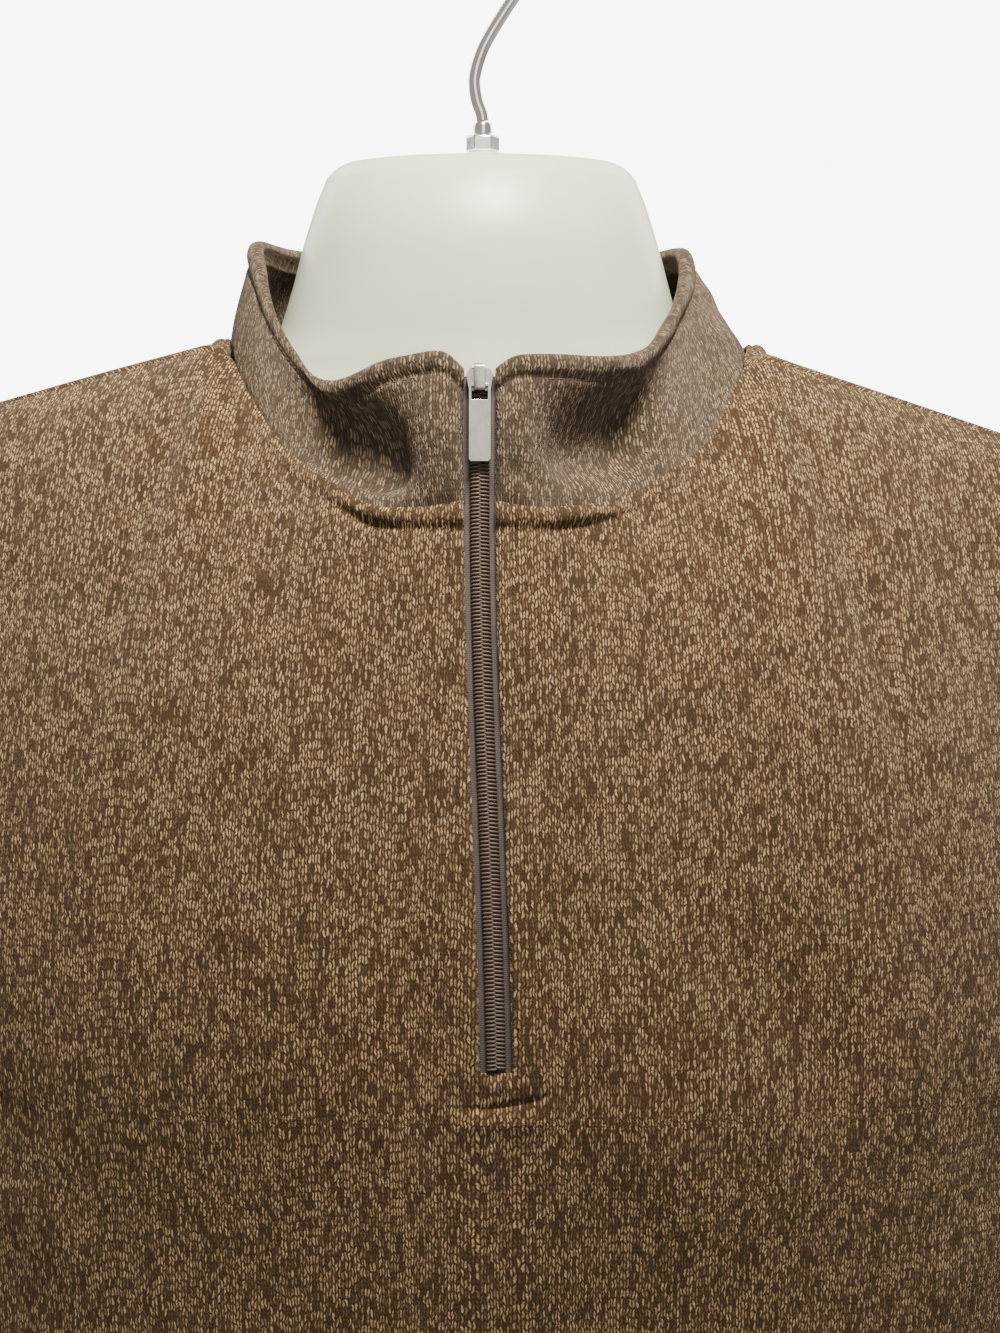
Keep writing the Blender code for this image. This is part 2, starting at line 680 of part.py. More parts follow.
def build_slider(steel):
    """Build the slider with its crown, and the pull tab that turns under the crown."""
    frame = hinge_place()
    shoulder = SLIDER_TOP - SLIDER_SLOPE
    top_half = SLIDER_TOP_HALF - SLIDER_CORNER
    body = [(-SLIDER_BOTTOM_HALF, SLIDER_BOTTOM), (SLIDER_BOTTOM_HALF, SLIDER_BOTTOM),
            (SLIDER_TOP_HALF, shoulder), (top_half, SLIDER_TOP), (-top_half, SLIDER_TOP), (-SLIDER_TOP_HALF, shoulder)]
    slider = outline_plate("zip_slider", body, SLIDER_BACK, SLIDER_FRONT, "out", steel)
    root = SLIDER_FRONT - CROWN_ROOT
    bent = CROWN_OUTSIDE - CROWN_BEVEL
    crown = [(root, CROWN_TOP - CROWN_TOP_SLOPE), (bent, CROWN_TOP), (CROWN_OUTSIDE, CROWN_TOP - 2 * CROWN_BEVEL),
             (CROWN_OUTSIDE, CROWN_BOTTOM + CROWN_BEVEL), (bent, CROWN_BOTTOM), (root, CROWN_BOTTOM),
             (root, CROWN_BOTTOM + CROWN_LEG), (CROWN_INSIDE, CROWN_BOTTOM + CROWN_LEG),
             (CROWN_INSIDE, CROWN_TOP - CROWN_TOP_THICK), (root, CROWN_TOP - CROWN_TOP_THICK)]
    arch = outline_plate("crown_guide", crown, -CROWN_HALF, CROWN_HALF, "x", steel)
    combine(slider, arch, "UNION")
    bar = TAB_THICK / 2
    low = bar - TAB_LENGTH
    side = TAB_HALF - TAB_CORNER
    tab_outline = [(-side, low), (side, low), (TAB_HALF, low + TAB_CORNER), (TAB_HALF, bar - TAB_CORNER),
                   (side, bar), (-side, bar), (-TAB_HALF, bar - TAB_CORNER), (-TAB_HALF, low + TAB_CORNER)]
    tab = outline_plate("pull_tab", tab_outline, -bar, bar, "out", steel)
    foot = -bar - TAB_WINDOW_LENGTH
    window = [(-TAB_WINDOW_HALF, foot), (TAB_WINDOW_HALF, foot), (TAB_WINDOW_HALF, -bar), (-TAB_WINDOW_HALF, -bar)]
    cutter = outline_plate("window_guide", window, -2 * TAB_THICK, 2 * TAB_THICK, "out", steel)
    combine(tab, cutter, "DIFFERENCE")
    for made in (slider, arch, tab, cutter):
        made.matrix_world = frame


def form_ring(row):
    """Return one ring of the torso form."""
    ring = []
    for step in range(FORM_COLUMNS):
        angle = 2 * math.pi * step / FORM_COLUMNS
        sine = math.copysign(abs(math.sin(angle)) ** row.power, math.sin(angle))
        cosine = math.copysign(abs(math.cos(angle)) ** row.power, math.cos(angle))
        depth = row.front if cosine > 0 else row.back
        ring.append(Vector((row.width * sine + row.shift, -depth * cosine, row.z)) * MM)
    return ring


def build_form(material):
    """Build the limbless form with a boss for the hook on top of its neck."""
    loops = [form_ring(row) for row in FORM]
    for z in (NECK_TOP_Z, BOSS_TOP_Z):
        loops.append(form_ring(Form(z / MM, BOSS_RADIUS, BOSS_RADIUS, BOSS_RADIUS, 1, HOOK_X / MM)))
    return loft("torso_form", loops, material)


def build_hook(steel):
    """Build the nut, the ring and the bent wire on top of the form's neck."""
    for name, sides, radius, (low, high) in (("hook_nut", 6, NUT_HALF / math.cos(math.pi / 6), NUT_Z),
                                             ("hook_ring", 16, RING_RADIUS, RING_Z)):
        loops = []
        for z in (low, high):
            turns = [2 * math.pi * (i + 0.5) / sides for i in range(sides)]
            loops.append([Vector((HOOK_X + radius * math.sin(a), -radius * math.cos(a), z)) for a in turns])
        loft(name, loops, steel)
    points = [read(STEM, step / 2) for step in range(2 * len(STEM) - 1)]
    route = [Vector((point.x, 0, point.z)) * MM for point in points]
    for step in range(HOOK_STEPS + 1):
        angle = HOOK_START + (HOOK_END - HOOK_START) * step / HOOK_STEPS
        x = HOOK_CENTRE[0] + HOOK_RADIUS * math.cos(angle)
        route.append(Vector((x, 0, HOOK_CENTRE[1] + HOOK_RADIUS * math.sin(angle))))
    curve = bpy.data.curves.new("hook_wire", "CURVE")
    curve.dimensions = "3D"
    curve.bevel_depth = WIRE_RADIUS
    curve.bevel_resolution = 2
    curve.use_fill_caps = True
    spline = curve.splines.new("POLY")
    spline.points.add(len(route) - 1)
    for point, at in zip(spline.points, route):
        point.co = (*at, 1)
    curve.materials.append(steel)
    bpy.context.collection.objects.link(bpy.data.objects.new("hook_wire", curve))


def main():
    """Clear the scene and build every piece."""
    for old in list(bpy.data.objects):
        bpy.data.objects.remove(old)
    cloth = principled("marled_knit", CLOTH_COLOUR, 0.95, 0)
    build_body(cloth)
    build_collar(principled("collar_knit", COLLAR_COLOUR, 0.95, 0))
    build_zip(principled("zip_tape", TAPE_COLOUR, 0.9, 0), principled("zip_coil", COIL_COLOUR, 0.45, 0))
    steel = principled("satin_steel", STEEL_COLOUR, 0.3, 1)
    build_slider(steel)
    build_form(principled("form_plastic", FORM_COLOUR, 0.4, 0))
    build_hook(principled("chrome", CHROME_COLOUR, 0.08, 1))


main()
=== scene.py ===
"""Quarter-zip sweater on a limbless torso form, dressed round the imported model.

Metres, +Z up. The front faces -Y and +X is the wearer's left. Tables are in millimetres, read through MM.
"""
import functools
import logging
import math
from dataclasses import dataclass, field
from enum import Enum

import bmesh
import bpy
import numpy as np
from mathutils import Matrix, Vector


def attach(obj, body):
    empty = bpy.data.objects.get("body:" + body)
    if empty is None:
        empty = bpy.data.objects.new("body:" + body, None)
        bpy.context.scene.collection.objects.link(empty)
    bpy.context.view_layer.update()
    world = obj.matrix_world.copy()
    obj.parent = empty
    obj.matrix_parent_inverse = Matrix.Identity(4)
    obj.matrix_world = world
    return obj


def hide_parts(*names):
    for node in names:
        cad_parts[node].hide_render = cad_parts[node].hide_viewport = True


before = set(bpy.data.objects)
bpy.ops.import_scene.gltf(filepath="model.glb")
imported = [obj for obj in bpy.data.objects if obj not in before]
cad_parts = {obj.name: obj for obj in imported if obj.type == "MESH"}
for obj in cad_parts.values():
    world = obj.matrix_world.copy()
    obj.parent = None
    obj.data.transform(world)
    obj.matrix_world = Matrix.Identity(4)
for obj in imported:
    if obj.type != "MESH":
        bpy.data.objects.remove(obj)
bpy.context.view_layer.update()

logging.basicConfig(level=logging.INFO, format="%(message)s")
LOG = logging.getLogger("sweater")

MM = 0.001
BODY = "sweater"
TAB_BODY = "pull_tab"

CLOTH = 2.2 * MM
SEAM_DRAW = 0.2 * MM
HEM_Z = 45 * MM
ARMPIT_Z = 490 * MM
SLIT_HALF = 5.2 * MM
SLIT_RISE = 0.09
ZIP_DROP_X = 5.7 * MM
ZIP_TOP_X = -2.3 * MM
ZIP_FOOT_Z = 506 * MM
ZIP_HEAD_Z = 737 * MM
NECK_SHARE = 0.42
SHOULDER_TURN = 75.0
ROUNDNESS = 0.87
SPLIT_KEY = 0.01

# z, width, front, back
BODY_ROWS = (
    (45, 214, 116, 128), (85, 218, 119, 135.8), (150, 219, 121, 133), (260, 217, 124, 121),
    (390, 221, 132, 119), (490, 226, 137, 127),
)
# turn from the zip, seam x y z, folded edge x y z, bow between
NECK_LEFT = (
    (0, 2.9, -97, 694, 2.9, -87, 737, 1), (6, 10, -96.5, 693.3, 10, -86, 741, 1.5),
    (16, 24, -95, 692, 24, -82, 741, 0), (28, 41, -88, 694, 41, -73, 741, -4),
    (39, 53, -80, 698, 53, -59, 744.5, -5), (50, 65, -70, 705.6, 62, -44, 752, -2),
    (62, 77, -57, 715, 67.5, -28, 762, 0), (75, 91, -28, 741.5, 71.5, -10, 773, 1),
    (95, 93, 8, 747, 73, 11, 785, 1), (122, 81, 44, 743, 64, 40, 787, 5),
    (152, 45, 72, 739, 37, 62, 788, 4), (180, 0, 80, 738, -3, 69, 789, 3),
)
NECK_RIGHT = (
    (0, -7.5, -97, 694, -7.5, -87, 737, 1), (6, -14, -96.5, 693.5, -15, -86, 742.5, 2.5),
    (15, -25, -95, 692, -29.5, -80, 741, 1), (25, -39, -91.5, 693, -42, -71, 735.5, -5),
    (35, -54, -84, 701, -53, -61, 733.5, -7), (46, -66, -73, 709, -64, -50, 740, -1),
    (60, -80, -54, 726, -76, -34, 759, 1), (75, -91, -28, 745, -83, -14, 777, 1),
    (95, -92.5, 8, 750, -86, 9, 787, 1), (122, -81, 44, 744, -74, 40, 787, 4),
    (152, -46, 72, 739, -43, 62, 788, 4), (180, 0, 80, 738, -3, 69, 789, 3),
)
SHOULDER_TIP = {1: (233, -10, 697), -1: (-233, -10, 708)}
# share, how a column leaves the chest x y z, how it arrives at its top edge x y z
FRONT_RISE = (
    (0, 0, 0, 200, 0, 50, 190), (0.15, 0, -5, 210, 0, 65, 175), (0.3, 0, -12, 240, -35, 95, 120),
    (0.42, 0, -20, 270, -71, 132, 73), (0.75, -50, -80, 240, -30, 150, 50), (1, -150, -210, 240, 0, 200, 10),
)
BACK_RISE = (
    (0, 0, 30, 240, 0, -75, 180), (0.1, 0, 30, 240, -30, -85, 140), (0.2, 0, 30, 240, -75, -100, 70),
    (0.3, 0, 30, 250, -105, -110, 15), (0.36, 0, 32, 260, -84, -165, -8),
    (0.42, 0, 35, 270, -86, -240, -50), (0.5, -8, 40, 265, -45, -226, -60),
    (0.75, -40, 70, 250, -10, -220, -56), (1, -130, 200, 250, 0, -220, -11),
)
# z, centre, depth, thick, sway
SLEEVE_ROWS = (
    (85, 269, 45, 18, -12), (150, 270, 55, 21, -11), (230, 271, 66, 25, -10), (290, 272, 74, 29, -9),
    (325, 276, 75, 27, -7), (375, 274, 80, 31, -5), (425, 273, 84, 33, -4),
)
ARMPIT_LEAVE = (48, 0, -12)
TIP_LEAVE = (150, 0, -47)
ARMPIT_ARRIVE = (0, 0, -65)
TIP_ARRIVE = (0, 0, -290)
CAP_SPREAD = 25 * MM
# front or back (-1, 1), share, width, low, high, height
FOLDS = (
    (-1, 0.62, 0.10, 60, 380, 5), (-1, -0.70, 0.11, 60, 350, 5), (-1, 0.30, 0.10, 45, 260, 3),
    (-1, -0.34, 0.12, 45, 230, 3), (1, 0.55, 0.12, 60, 420, 6), (1, -0.50, 0.12, 60, 400, 6),
    (1, 0.08, 0.12, 60, 330, 5),
)
# z, width, front, back, power, shift
FORM_ROWS = (
    (0, 150, 80, 84, 0.87, 0), (7, 160, 89, 93, 0.87, 0), (120, 186, 101, 112, 0.87, 0),
    (260, 184, 104, 100, 0.87, 0), (390, 192, 112, 100, 0.87, 0), (490, 200, 118, 106, 0.87, 0),
    (570, 200, 112, 98, 0.87, 0), (630, 194, 97, 82, 1.05, 0), (670, 186, 83, 62, 1.2, -1),
    (695, 172, 72, 50, 1.5, -2), (708, 158, 66, 42, 1.65, -3), (718, 140, 65, 39, 1.75, -4),
    (726.2, 125, 64.6, 45, 1.56, -5.5), (731.6, 109, 64.2, 51, 1.34, -6.5), (735.6, 96, 63.8, 54, 1.2, -5),
    (739, 87, 63.2, 57, 1.1, -3), (745, 80, 62, 60, 1.03, -3), (752, 74.5, 61, 62, 1, -3),
    (768, 69.5, 60, 60, 1, -2.5), (785, 65, 57.6, 57, 1, -2.5), (793, 62.6, 55, 55.2, 1, -2.5),
    (801, 60, 51, 53, 1, -2.5), (807, 57.5, 47, 51, 1, -2.5), (811, 55.5, 43.5, 49, 1, -2.5),
    (815.5, 49, 36, 43, 1, -2.5), (816.5, 40, 29, 34, 1, -2.5),
)
# step, x, z
STEM_ROWS = (
    (0, -1.8, 831.6), (1, -2.3, 834.5), (2, -3.9, 839), (3, -4.8, 846.5), (4, -2.9, 854.5), (5, 0.6, 862),
    (6, 8.9, 875), (7, 16.5, 884.5),
)
WIRE_RADIUS = 2.25 * MM
HOOK_X = -1.8 * MM
HOOK_CENTRE = (-1 * MM, 905 * MM)
HOOK_RADIUS = 26 * MM
HOOK_START = math.radians(-28)
HOOK_END = math.radians(205)

# How the cloth stands out or sinks by its distance from a seam or an edge: distance, lift
NECK_ROLL = ((0, -1.1), (1.0, 0.2), (2.6, 1.3), (4.4, 1.55), (5.8, 0.9), (7.0, -0.35), (7.8, -0.8),
             (9.0, -0.5), (12, 0), (15, 0.1), (20, 0))
PLAIN_SEAM = ((0, -0.9), (1.3, -0.2), (3, 0.35), (6, 0.2), (10, 0), (20, 0))
ZIP_EDGE = ((0, -0.7), (0.8, 0.1), (2.2, 0.5), (4.2, 0.2), (5.4, -0.5), (6.6, 0), (9, 0), (20, 0))
HEM_EDGE = ((0, 0), (6, 0.5), (18, 0.5), (22, -0.45), (23.5, 0.1), (25.5, -0.5), (28, 0), (60, 0))
COLLAR_EDGE = ((0, 1.0), (3.0, 1.3), (5.6, 0.6), (7.2, -0.75), (8.8, -0.1), (11, 0), (40, 0))

# Creases on the flat pattern: start u v, end u v, width, height, bow
FRONT_CREASES = (
    (-14, 451.2, 11, 455.2, 1.0, -1.5, -0.8), (-12, 457.5, 5, 458.2, 2.4, 0.9, 0),
    (-17, 445.5, 12, 449, 4.2, 1.3, -1.5),
    (-22, 474, -15, 456, 2.6, 1.1, 1), (12, 474, 6, 458, 2.6, 1.1, -1), (-6, 463, -5, 455, 1.2, -0.7, 0),
    (-9, 461, -10, 454, 1.0, -0.5, 0), (-1, 461, 0, 456, 1.0, -0.5, 0),
    (-36, 530, -26, 430, 13, -3.2, 3), (60, 510, 110, 430, 20, -3.8, 8), (30, 480, 70, 400, 14, 1.8, -8),
    (-60, 560, -120, 610, 16, 1.0, 6), (95, 560, 150, 600, 18, 0.9, -6), (-150, 300, -60, 250, 22, 1.6, 10),
    (150, 290, 70, 230, 20, -1.6, -10), (-200, 420, -130, 380, 12, 1.8, 6), (205, 425, 140, 370, 12, 1.8, -6),
    (-225, 455, -160, 440, 7, -1.6, 4), (230, 455, 165, 445, 7, -1.6, -4), (-40, 180, 60, 150, 24, -1.5, 10),
)
BACK_CREASES = (
    (-70, 560, 80, 548, 18, 1.8, 12), (-60, 520, 50, 510, 14, -1.6, 10), (-210, 430, -120, 470, 12, 1.8, 8),
    (215, 430, 130, 480, 12, 1.8, -8), (-225, 455, -160, 450, 7, -1.6, 4), (228, 452, 160, 452, 7, -1.6, -4),
    (-120, 330, -20, 260, 20, 1.6, 14), (130, 320, 40, 240, 22, -1.8, -14), (-50, 130, 90, 110, 20, 1.4, 10),
)
SLEEVE_CREASES = (
    (-70, 215, 30, 235, 9, 2.4, 10), (-60, 232, 45, 250, 7, -1.8, 8), (-30, 190, 80, 205, 10, 2.0, -9),
    (20, 255, 100, 240, 8, 1.8, 6), (-90, 300, -20, 330, 14, 1.8, 8), (10, 140, 70, 170, 12, 1.6, 6),
    (-70, 110, 0, 130, 12, -1.4, -6), (-40, 60, 50, 75, 14, 1.2, 5), (30, 330, 110, 380, 12, -1.6, 10),
    (-110, 395, -60, 430, 8, 1.6, 6), (60, 420, 120, 400, 8, 1.6, -6),
)

# The cloth's extra height on the shoulders, the row where it starts and the rows it takes, and where it fades
# beside the neck and before the tip: distance from the middle, width of the fade
SHOULDER_RISE = 5.2 * MM
RISE_ROWS = (1.5, 0.4)
RISE_NECK = (89, 13)
RISE_TIP = (233, 40)
# Soft waves: seed, length in metres, height as a share of a seam's or in millimetres
SEAM_WAVES = (5, 0.045, 0.22)
PANEL_WAVES = {-1: (11, 0.14, 0.7), 1: (12, 0.14, 0.7)}
SLEEVE_WAVES = {1: (32, 0.09, 0.8), -1: (30, 0.09, 0.8)}
COLLAR_WAVES = (41, 0.03, 0.35)
# The neck seam's roll: where it ends and over what share, how much taller it is beside the zip and over what
# share, how much weaker it gets in front, from where and over what share, and how strong it is behind
ROLL_END = (0.01, 0.02)
ROLL_TALLER = (0.35, 0.07)
ROLL_WEAKER = (0.72, 0.12, 0.09)
ROLL_BEHIND = 0.4
# Rows of stitches: above the hem's or the cuff's edge, and below the collar's fold
HEM_STITCHES = (22.2, 25.4)
COLLAR_STITCHES = 7.2
# The inner face follows this much of the outer face's seams and creases
INNER_SHARE = 0.8

# The knit's column, row, slant of a loop's leg and length of a fleck
KNIT_WALE = 2.05
KNIT_COURSE = 1.7
KNIT_SLANT = 1.1
FLECK_LENGTH = 3.1


class Way(Enum):
    """Which way a panel faces, as the sign of Y."""

    FRONT = -1
    BACK = 1


def hermite(start: np.ndarray, leave: np.ndarray, end: np.ndarray, arrive: np.ndarray,
            u: np.ndarray) -> np.ndarray:
    """Return the cubic from start to end that leaves and arrives with the given slopes."""
    u2 = u * u
    u3 = u2 * u
    first = start * (2 * u3 - 3 * u2 + 1) + leave * (u3 - 2 * u2 + u)
    return first + end * (3 * u2 - 2 * u3) + arrive * (u3 - u2)


def ease(value: np.ndarray) -> np.ndarray:
    """Return a smooth step from 0 to 1."""
    u = np.clip(value, 0, 1)
    return u * u * (3 - 2 * u)


def unit(vectors: np.ndarray) -> np.ndarray:
    """Return the vectors at length 1."""
    return vectors / np.maximum(np.linalg.norm(vectors, axis=-1, keepdims=True), 1e-12)


def spans(*parts: tuple[float, float, int]) -> np.ndarray:
    """Return joined runs of evenly spaced numbers, each given as start, end and count of steps."""
    runs = [np.linspace(start, end, count, endpoint=False) for start, end, count in parts]
    return np.append(np.concatenate(runs), parts[-1][1])


@dataclass(frozen=True)
class Curve:
    """A smooth curve through a table's rows, read by its first column.

    Attributes:
        rows: the table, with its first column rising.
    """

    rows: tuple | np.ndarray

    def at(self, key: np.ndarray | float) -> np.ndarray:
        """Return the table's other columns at a key.

        Args:
            key: one number or an array of them.

        Returns:
            The values, with the table's columns along the last axis.
        """
        table = np.asarray(self.rows, dtype=float)
        keys, values = table[:, 0], table[:, 1:]
        key = np.asarray(key, dtype=float)
        last = len(table) - 2
        low = np.clip(np.searchsorted(keys, key, side="right") - 1, 0, last)
        before, high, after = np.maximum(low - 1, 0), low + 1, np.minimum(low + 2, last + 1)
        span = (keys[high] - keys[low])[..., None]
        u = np.clip((key - keys[low])[..., None] / span, 0, 1)
        leave = (values[high] - values[before]) / (keys[high] - keys[before])[..., None] * span
        arrive = (values[after] - values[low]) / (keys[after] - keys[low])[..., None] * span
        return hermite(values[low], leave, values[high], arrive, u)


def profile(table: tuple, distance: np.ndarray) -> np.ndarray:
    """Return how far cloth stands out at distances from a seam or an edge, both in millimetres."""
    return Curve(table).at(distance)[..., 0]


def run_length(line: np.ndarray) -> np.ndarray:
    """Return the length walked along a line at each of its points."""
    return np.append(0, np.cumsum(np.linalg.norm(np.diff(line, axis=0), axis=1)))


def read_line(where: np.ndarray | float, length: np.ndarray, values: np.ndarray) -> np.ndarray:
    """Return a line's points or normals where a given length has been walked along it."""
    return np.stack([np.interp(where, length, values[:, axis]) for axis in range(3)], -1)


def grid_cells(rows: int, columns: int) -> np.ndarray:
    """Return the corners of each cell of a grid, as indices into its points."""
    index = np.arange(rows * columns).reshape(rows, columns)
    return np.stack([index[:-1, :-1], index[:-1, 1:], index[1:, 1:], index[1:, :-1]], axis=-1)


BODY_CURVE = Curve(BODY_ROWS)
NECK_CURVE = {1: Curve(NECK_LEFT), -1: Curve(NECK_RIGHT)}
RISE_CURVE = {Way.FRONT: Curve(FRONT_RISE), Way.BACK: Curve(BACK_RISE)}
SLEEVE_CURVE = Curve(SLEEVE_ROWS)


def zip_x(z: np.ndarray) -> np.ndarray:
    """Return how far the zip's middle line has drifted sideways at a height."""
    return ZIP_TOP_X + ZIP_DROP_X * ease((ZIP_HEAD_Z - z) / (ZIP_HEAD_Z - ZIP_FOOT_Z))


def fold_lift(way: Way, hand: int, share: np.ndarray, z: np.ndarray) -> np.ndarray:
    """Return how far the hanging folds lift the cloth.

    Args:
        way: front or back.
        hand: 1 for the left half and -1 for the right.
        share: the place across the half, from 0 at the middle to 1 at the side.
        z: the height in metres.

    Returns:
        The lift in metres.
    """
    lift = np.zeros(np.broadcast(share, z).shape)
    for face, place, width, low, high, height in FOLDS:
        if face == way.value:
            across = (hand * share - place) / width
            along = np.clip((z / MM - low) / (high - low), 0, 1)
            lift = lift + height * MM * np.exp(-across * across) * np.sin(math.pi * along) ** 2
    return lift


def neck_seam(hand: int, turn: np.ndarray) -> np.ndarray:
    """Return the points of the neck seam at turns from the zip."""
    return NECK_CURVE[hand].at(turn)[..., 0:3] * MM


def top_edge(way: Way, hand: int, share: np.ndarray) -> np.ndarray:
    """Return a panel's top edge: neck seam, then shoulder seam.

    Args:
        way: front or back.
        hand: 1 for the left half and -1 for the right.
        share: the place across the half, from 0 at the middle to 1 at the tip.

    Returns:
        The edge's points.
    """
    part = np.minimum(share / NECK_SHARE, 1)
    turn = SHOULDER_TURN * part if way is Way.FRONT else 180 - (180 - SHOULDER_TURN) * part
    neck = neck_seam(hand, turn)
    along = np.maximum((share - NECK_SHARE) / (1 - NECK_SHARE), 0)[..., None]
    return neck + (np.array(SHOULDER_TIP[hand]) * MM - neck_seam(hand, SHOULDER_TURN)) * along


def body_point(way: Way, hand: int, share: np.ndarray, z: np.ndarray) -> np.ndarray:
    """Return points of the body below the armpits.

    Args:
        way: front or back.
        hand: 1 for the left half and -1 for the right.
        share: the place across the half, from 0 at the middle to 1 at the side.
        z: the height in metres.

    Returns:
        The points, with their coordinates along the last axis.
    """
    width, front, back = np.moveaxis(BODY_CURVE.at(z / MM) * MM, -1, 0)
    angle = share * math.pi / 2
    sine = np.sin(angle) ** ROUNDNESS
    cosine = np.maximum(np.cos(angle), 0) ** ROUNDNESS
    if way is Way.FRONT:
        x = hand * (SLIT_HALF + (width - SLIT_HALF) * sine) + zip_x(z) * (1 - share)
        depth = front
    else:
        x = hand * width * sine
        depth = back
    y = way.value * depth * cosine * (1 + fold_lift(way, hand, share, z) / depth)
    return np.stack(np.broadcast_arrays(x, y, z), axis=-1)


def yoke_point(way: Way, hand: int, share: np.ndarray, rise: np.ndarray) -> np.ndarray:
    """Return points between the armpit line and the panel's top edge.

    Args:
        way: front or back.
        hand: 1 for the left half and -1 for the right.
        share: the place across the half, from 0 to 1.
        rise: the way up, from 0 at the armpits to 1 at the top edge.

    Returns:
        The points, with their coordinates along the last axis.
    """
    slopes = RISE_CURVE[way].at(share) * MM * np.array((hand, 1, 1, hand, 1, 1))
    start = body_point(way, hand, share, np.array(ARMPIT_Z))
    return hermite(start, slopes[..., 0:3], top_edge(way, hand, share), slopes[..., 3:6], rise[..., None])


def panel_points(way: Way, keys: np.ndarray, rows: np.ndarray) -> np.ndarray:
    """Return a panel's outer points.

    Args:
        way: front or back.
        keys: a number for each column, the hand times its share of the half, past SPLIT_KEY on the front.
        rows: a number for each row, 0 to 1 from the hem to the armpits and 1 to 2 from there to the top edge.

    Returns:
        The points, row by row.
    """
    share = np.maximum(np.abs(keys) - (SPLIT_KEY if way is Way.FRONT else 0), 0)[None, :]
    z = (HEM_Z + (ARMPIT_Z - HEM_Z) * np.minimum(rows, 1))[:, None]
    rise = np.clip(rows - 1, 0, 1)[:, None] + 0 * share
    halves = []
    for hand in (-1, 1):
        low = body_point(way, hand, share, z)
        halves.append(np.where((rise > 0)[..., None], yoke_point(way, hand, share + 0 * rise, rise), low))
    points = np.where((keys > 0)[None, :, None], halves[1], halves[0])
    if way is Way.FRONT:
        gap = np.flatnonzero(np.abs(keys) < SPLIT_KEY * 0.999)
        if len(gap):
            first, last = gap[0] - 1, gap[-1] + 1
            part = ((keys[gap] + SPLIT_KEY) / (2 * SPLIT_KEY))[None, :, None]
            points[:, gap] = points[:, first:first + 1] * (1 - part) + points[:, last:last + 1] * part
    return points


def armhole_point(hand: int, angles: np.ndarray) -> np.ndarray:
    """Return an armhole's points, up the front from the armpit at 0 and down the back.

    Args:
        hand: 1 for the left and -1 for the right.
        angles: from 0 to a full turn.

    Returns:
        One point for each angle.
    """
    rises = np.linspace(0, 1, 240)
    found = np.zeros((len(angles), 3))
    for way, first in ((Way.FRONT, 0.0), (Way.BACK, math.pi)):
        edge = yoke_point(way, hand, np.ones_like(rises), rises)
        if way is Way.BACK:
            edge = edge[::-1]
        length = run_length(edge)
        here = (angles >= first) & (angles <= first + math.pi)
        found[here] = read_line(angles[here], first + math.pi * length / length[-1], edge)
    return found


def sleeve_ring(hand: int, rows: np.ndarray, angles: np.ndarray) -> np.ndarray:
    """Return a hanging sleeve's points at heights in millimetres and angles from its inner side.

    Args:
        hand: 1 for the left and -1 for the right.
        rows: the heights.
        angles: the angles.

    Returns:
        The points, ring by ring.
    """
    centre, depth, thick, sway = np.moveaxis(SLEEVE_CURVE.at(rows), -1, 0)
    x = hand * (centre - thick * np.cos(angles))
    return np.stack(np.broadcast_arrays(x, sway - depth * np.sin(angles), rows), axis=-1) * MM


def sleeve_points(hand: int, angles: np.ndarray, rises: np.ndarray, heights: np.ndarray) -> np.ndarray:
    """Return a sleeve's outer points in rings from the cuff up to the armhole.

    Args:
        hand: 1 for the left sleeve and -1 for the right.
        angles: the columns, 0 to a full turn from the inner side.
        rises: the cap's rows, from 0 at the armhole to 1 at the first hanging ring.
        heights: the hanging rows in millimetres, rising.

    Returns:
        The points, ring by ring.
    """
    ring = angles[None, :]
    hanging = sleeve_ring(hand, heights[:, None], ring)
    height = ((1 - np.cos(angles)) / 2)[:, None]
    leave = (np.array(ARMPIT_LEAVE) * (1 - height) + np.array(TIP_LEAVE) * height) * MM
    leave[:, 0] *= hand
    leave[:, 1] = -CAP_SPREAD * np.sin(angles)
    arrive = (np.array(ARMPIT_ARRIVE) * (1 - height) + np.array(TIP_ARRIVE) * height) * MM
    cap = hermite(armhole_point(hand, angles)[None], leave[None], hanging[-1][None], arrive[None],
                  rises[::-1][:, None, None])
    return np.concatenate([hanging[:-1], cap])


def collar_point(hand: int, turn: np.ndarray, rise: np.ndarray) -> np.ndarray:
    """Return points of the collar's outer face, from its seam to its folded edge.

    Args:
        hand: 1 for the left half and -1 for the right.
        turn: the angle from the zip in degrees.
        rise: the way up, from 0 at the seam to 1 at the fold.

    Returns:
        The points, with their coordinates along the last axis.
    """
    row = NECK_CURVE[hand].at(turn)
    seam, top, bow = row[..., 0:3] * MM, row[..., 3:6] * MM, row[..., 6] * MM
    out = unit(seam * np.array((1, 1, 0)))
    rise = np.asarray(rise)[..., None]
    return seam + (top - seam) * rise + out * bow[..., None] * np.sin(math.pi * rise)


def normals(points: np.ndarray, sign: float) -> np.ndarray:
    """Return a grid's unit normals, turned by sign."""
    across = np.gradient(points, axis=1)
    up = np.gradient(points, axis=0)
    return unit(np.cross(across, up)) * sign


def walked(points: np.ndarray, axis: int) -> np.ndarray:
    """Return the length walked at each point of a grid, up its columns or, with axis 1, along its rows."""
    steps = np.linalg.norm(np.diff(points, axis=axis), axis=-1)
    pad = ((0, 0), (1, 0)) if axis == 1 else ((1, 0), (0, 0))
    return np.pad(np.cumsum(steps, axis=axis), pad)


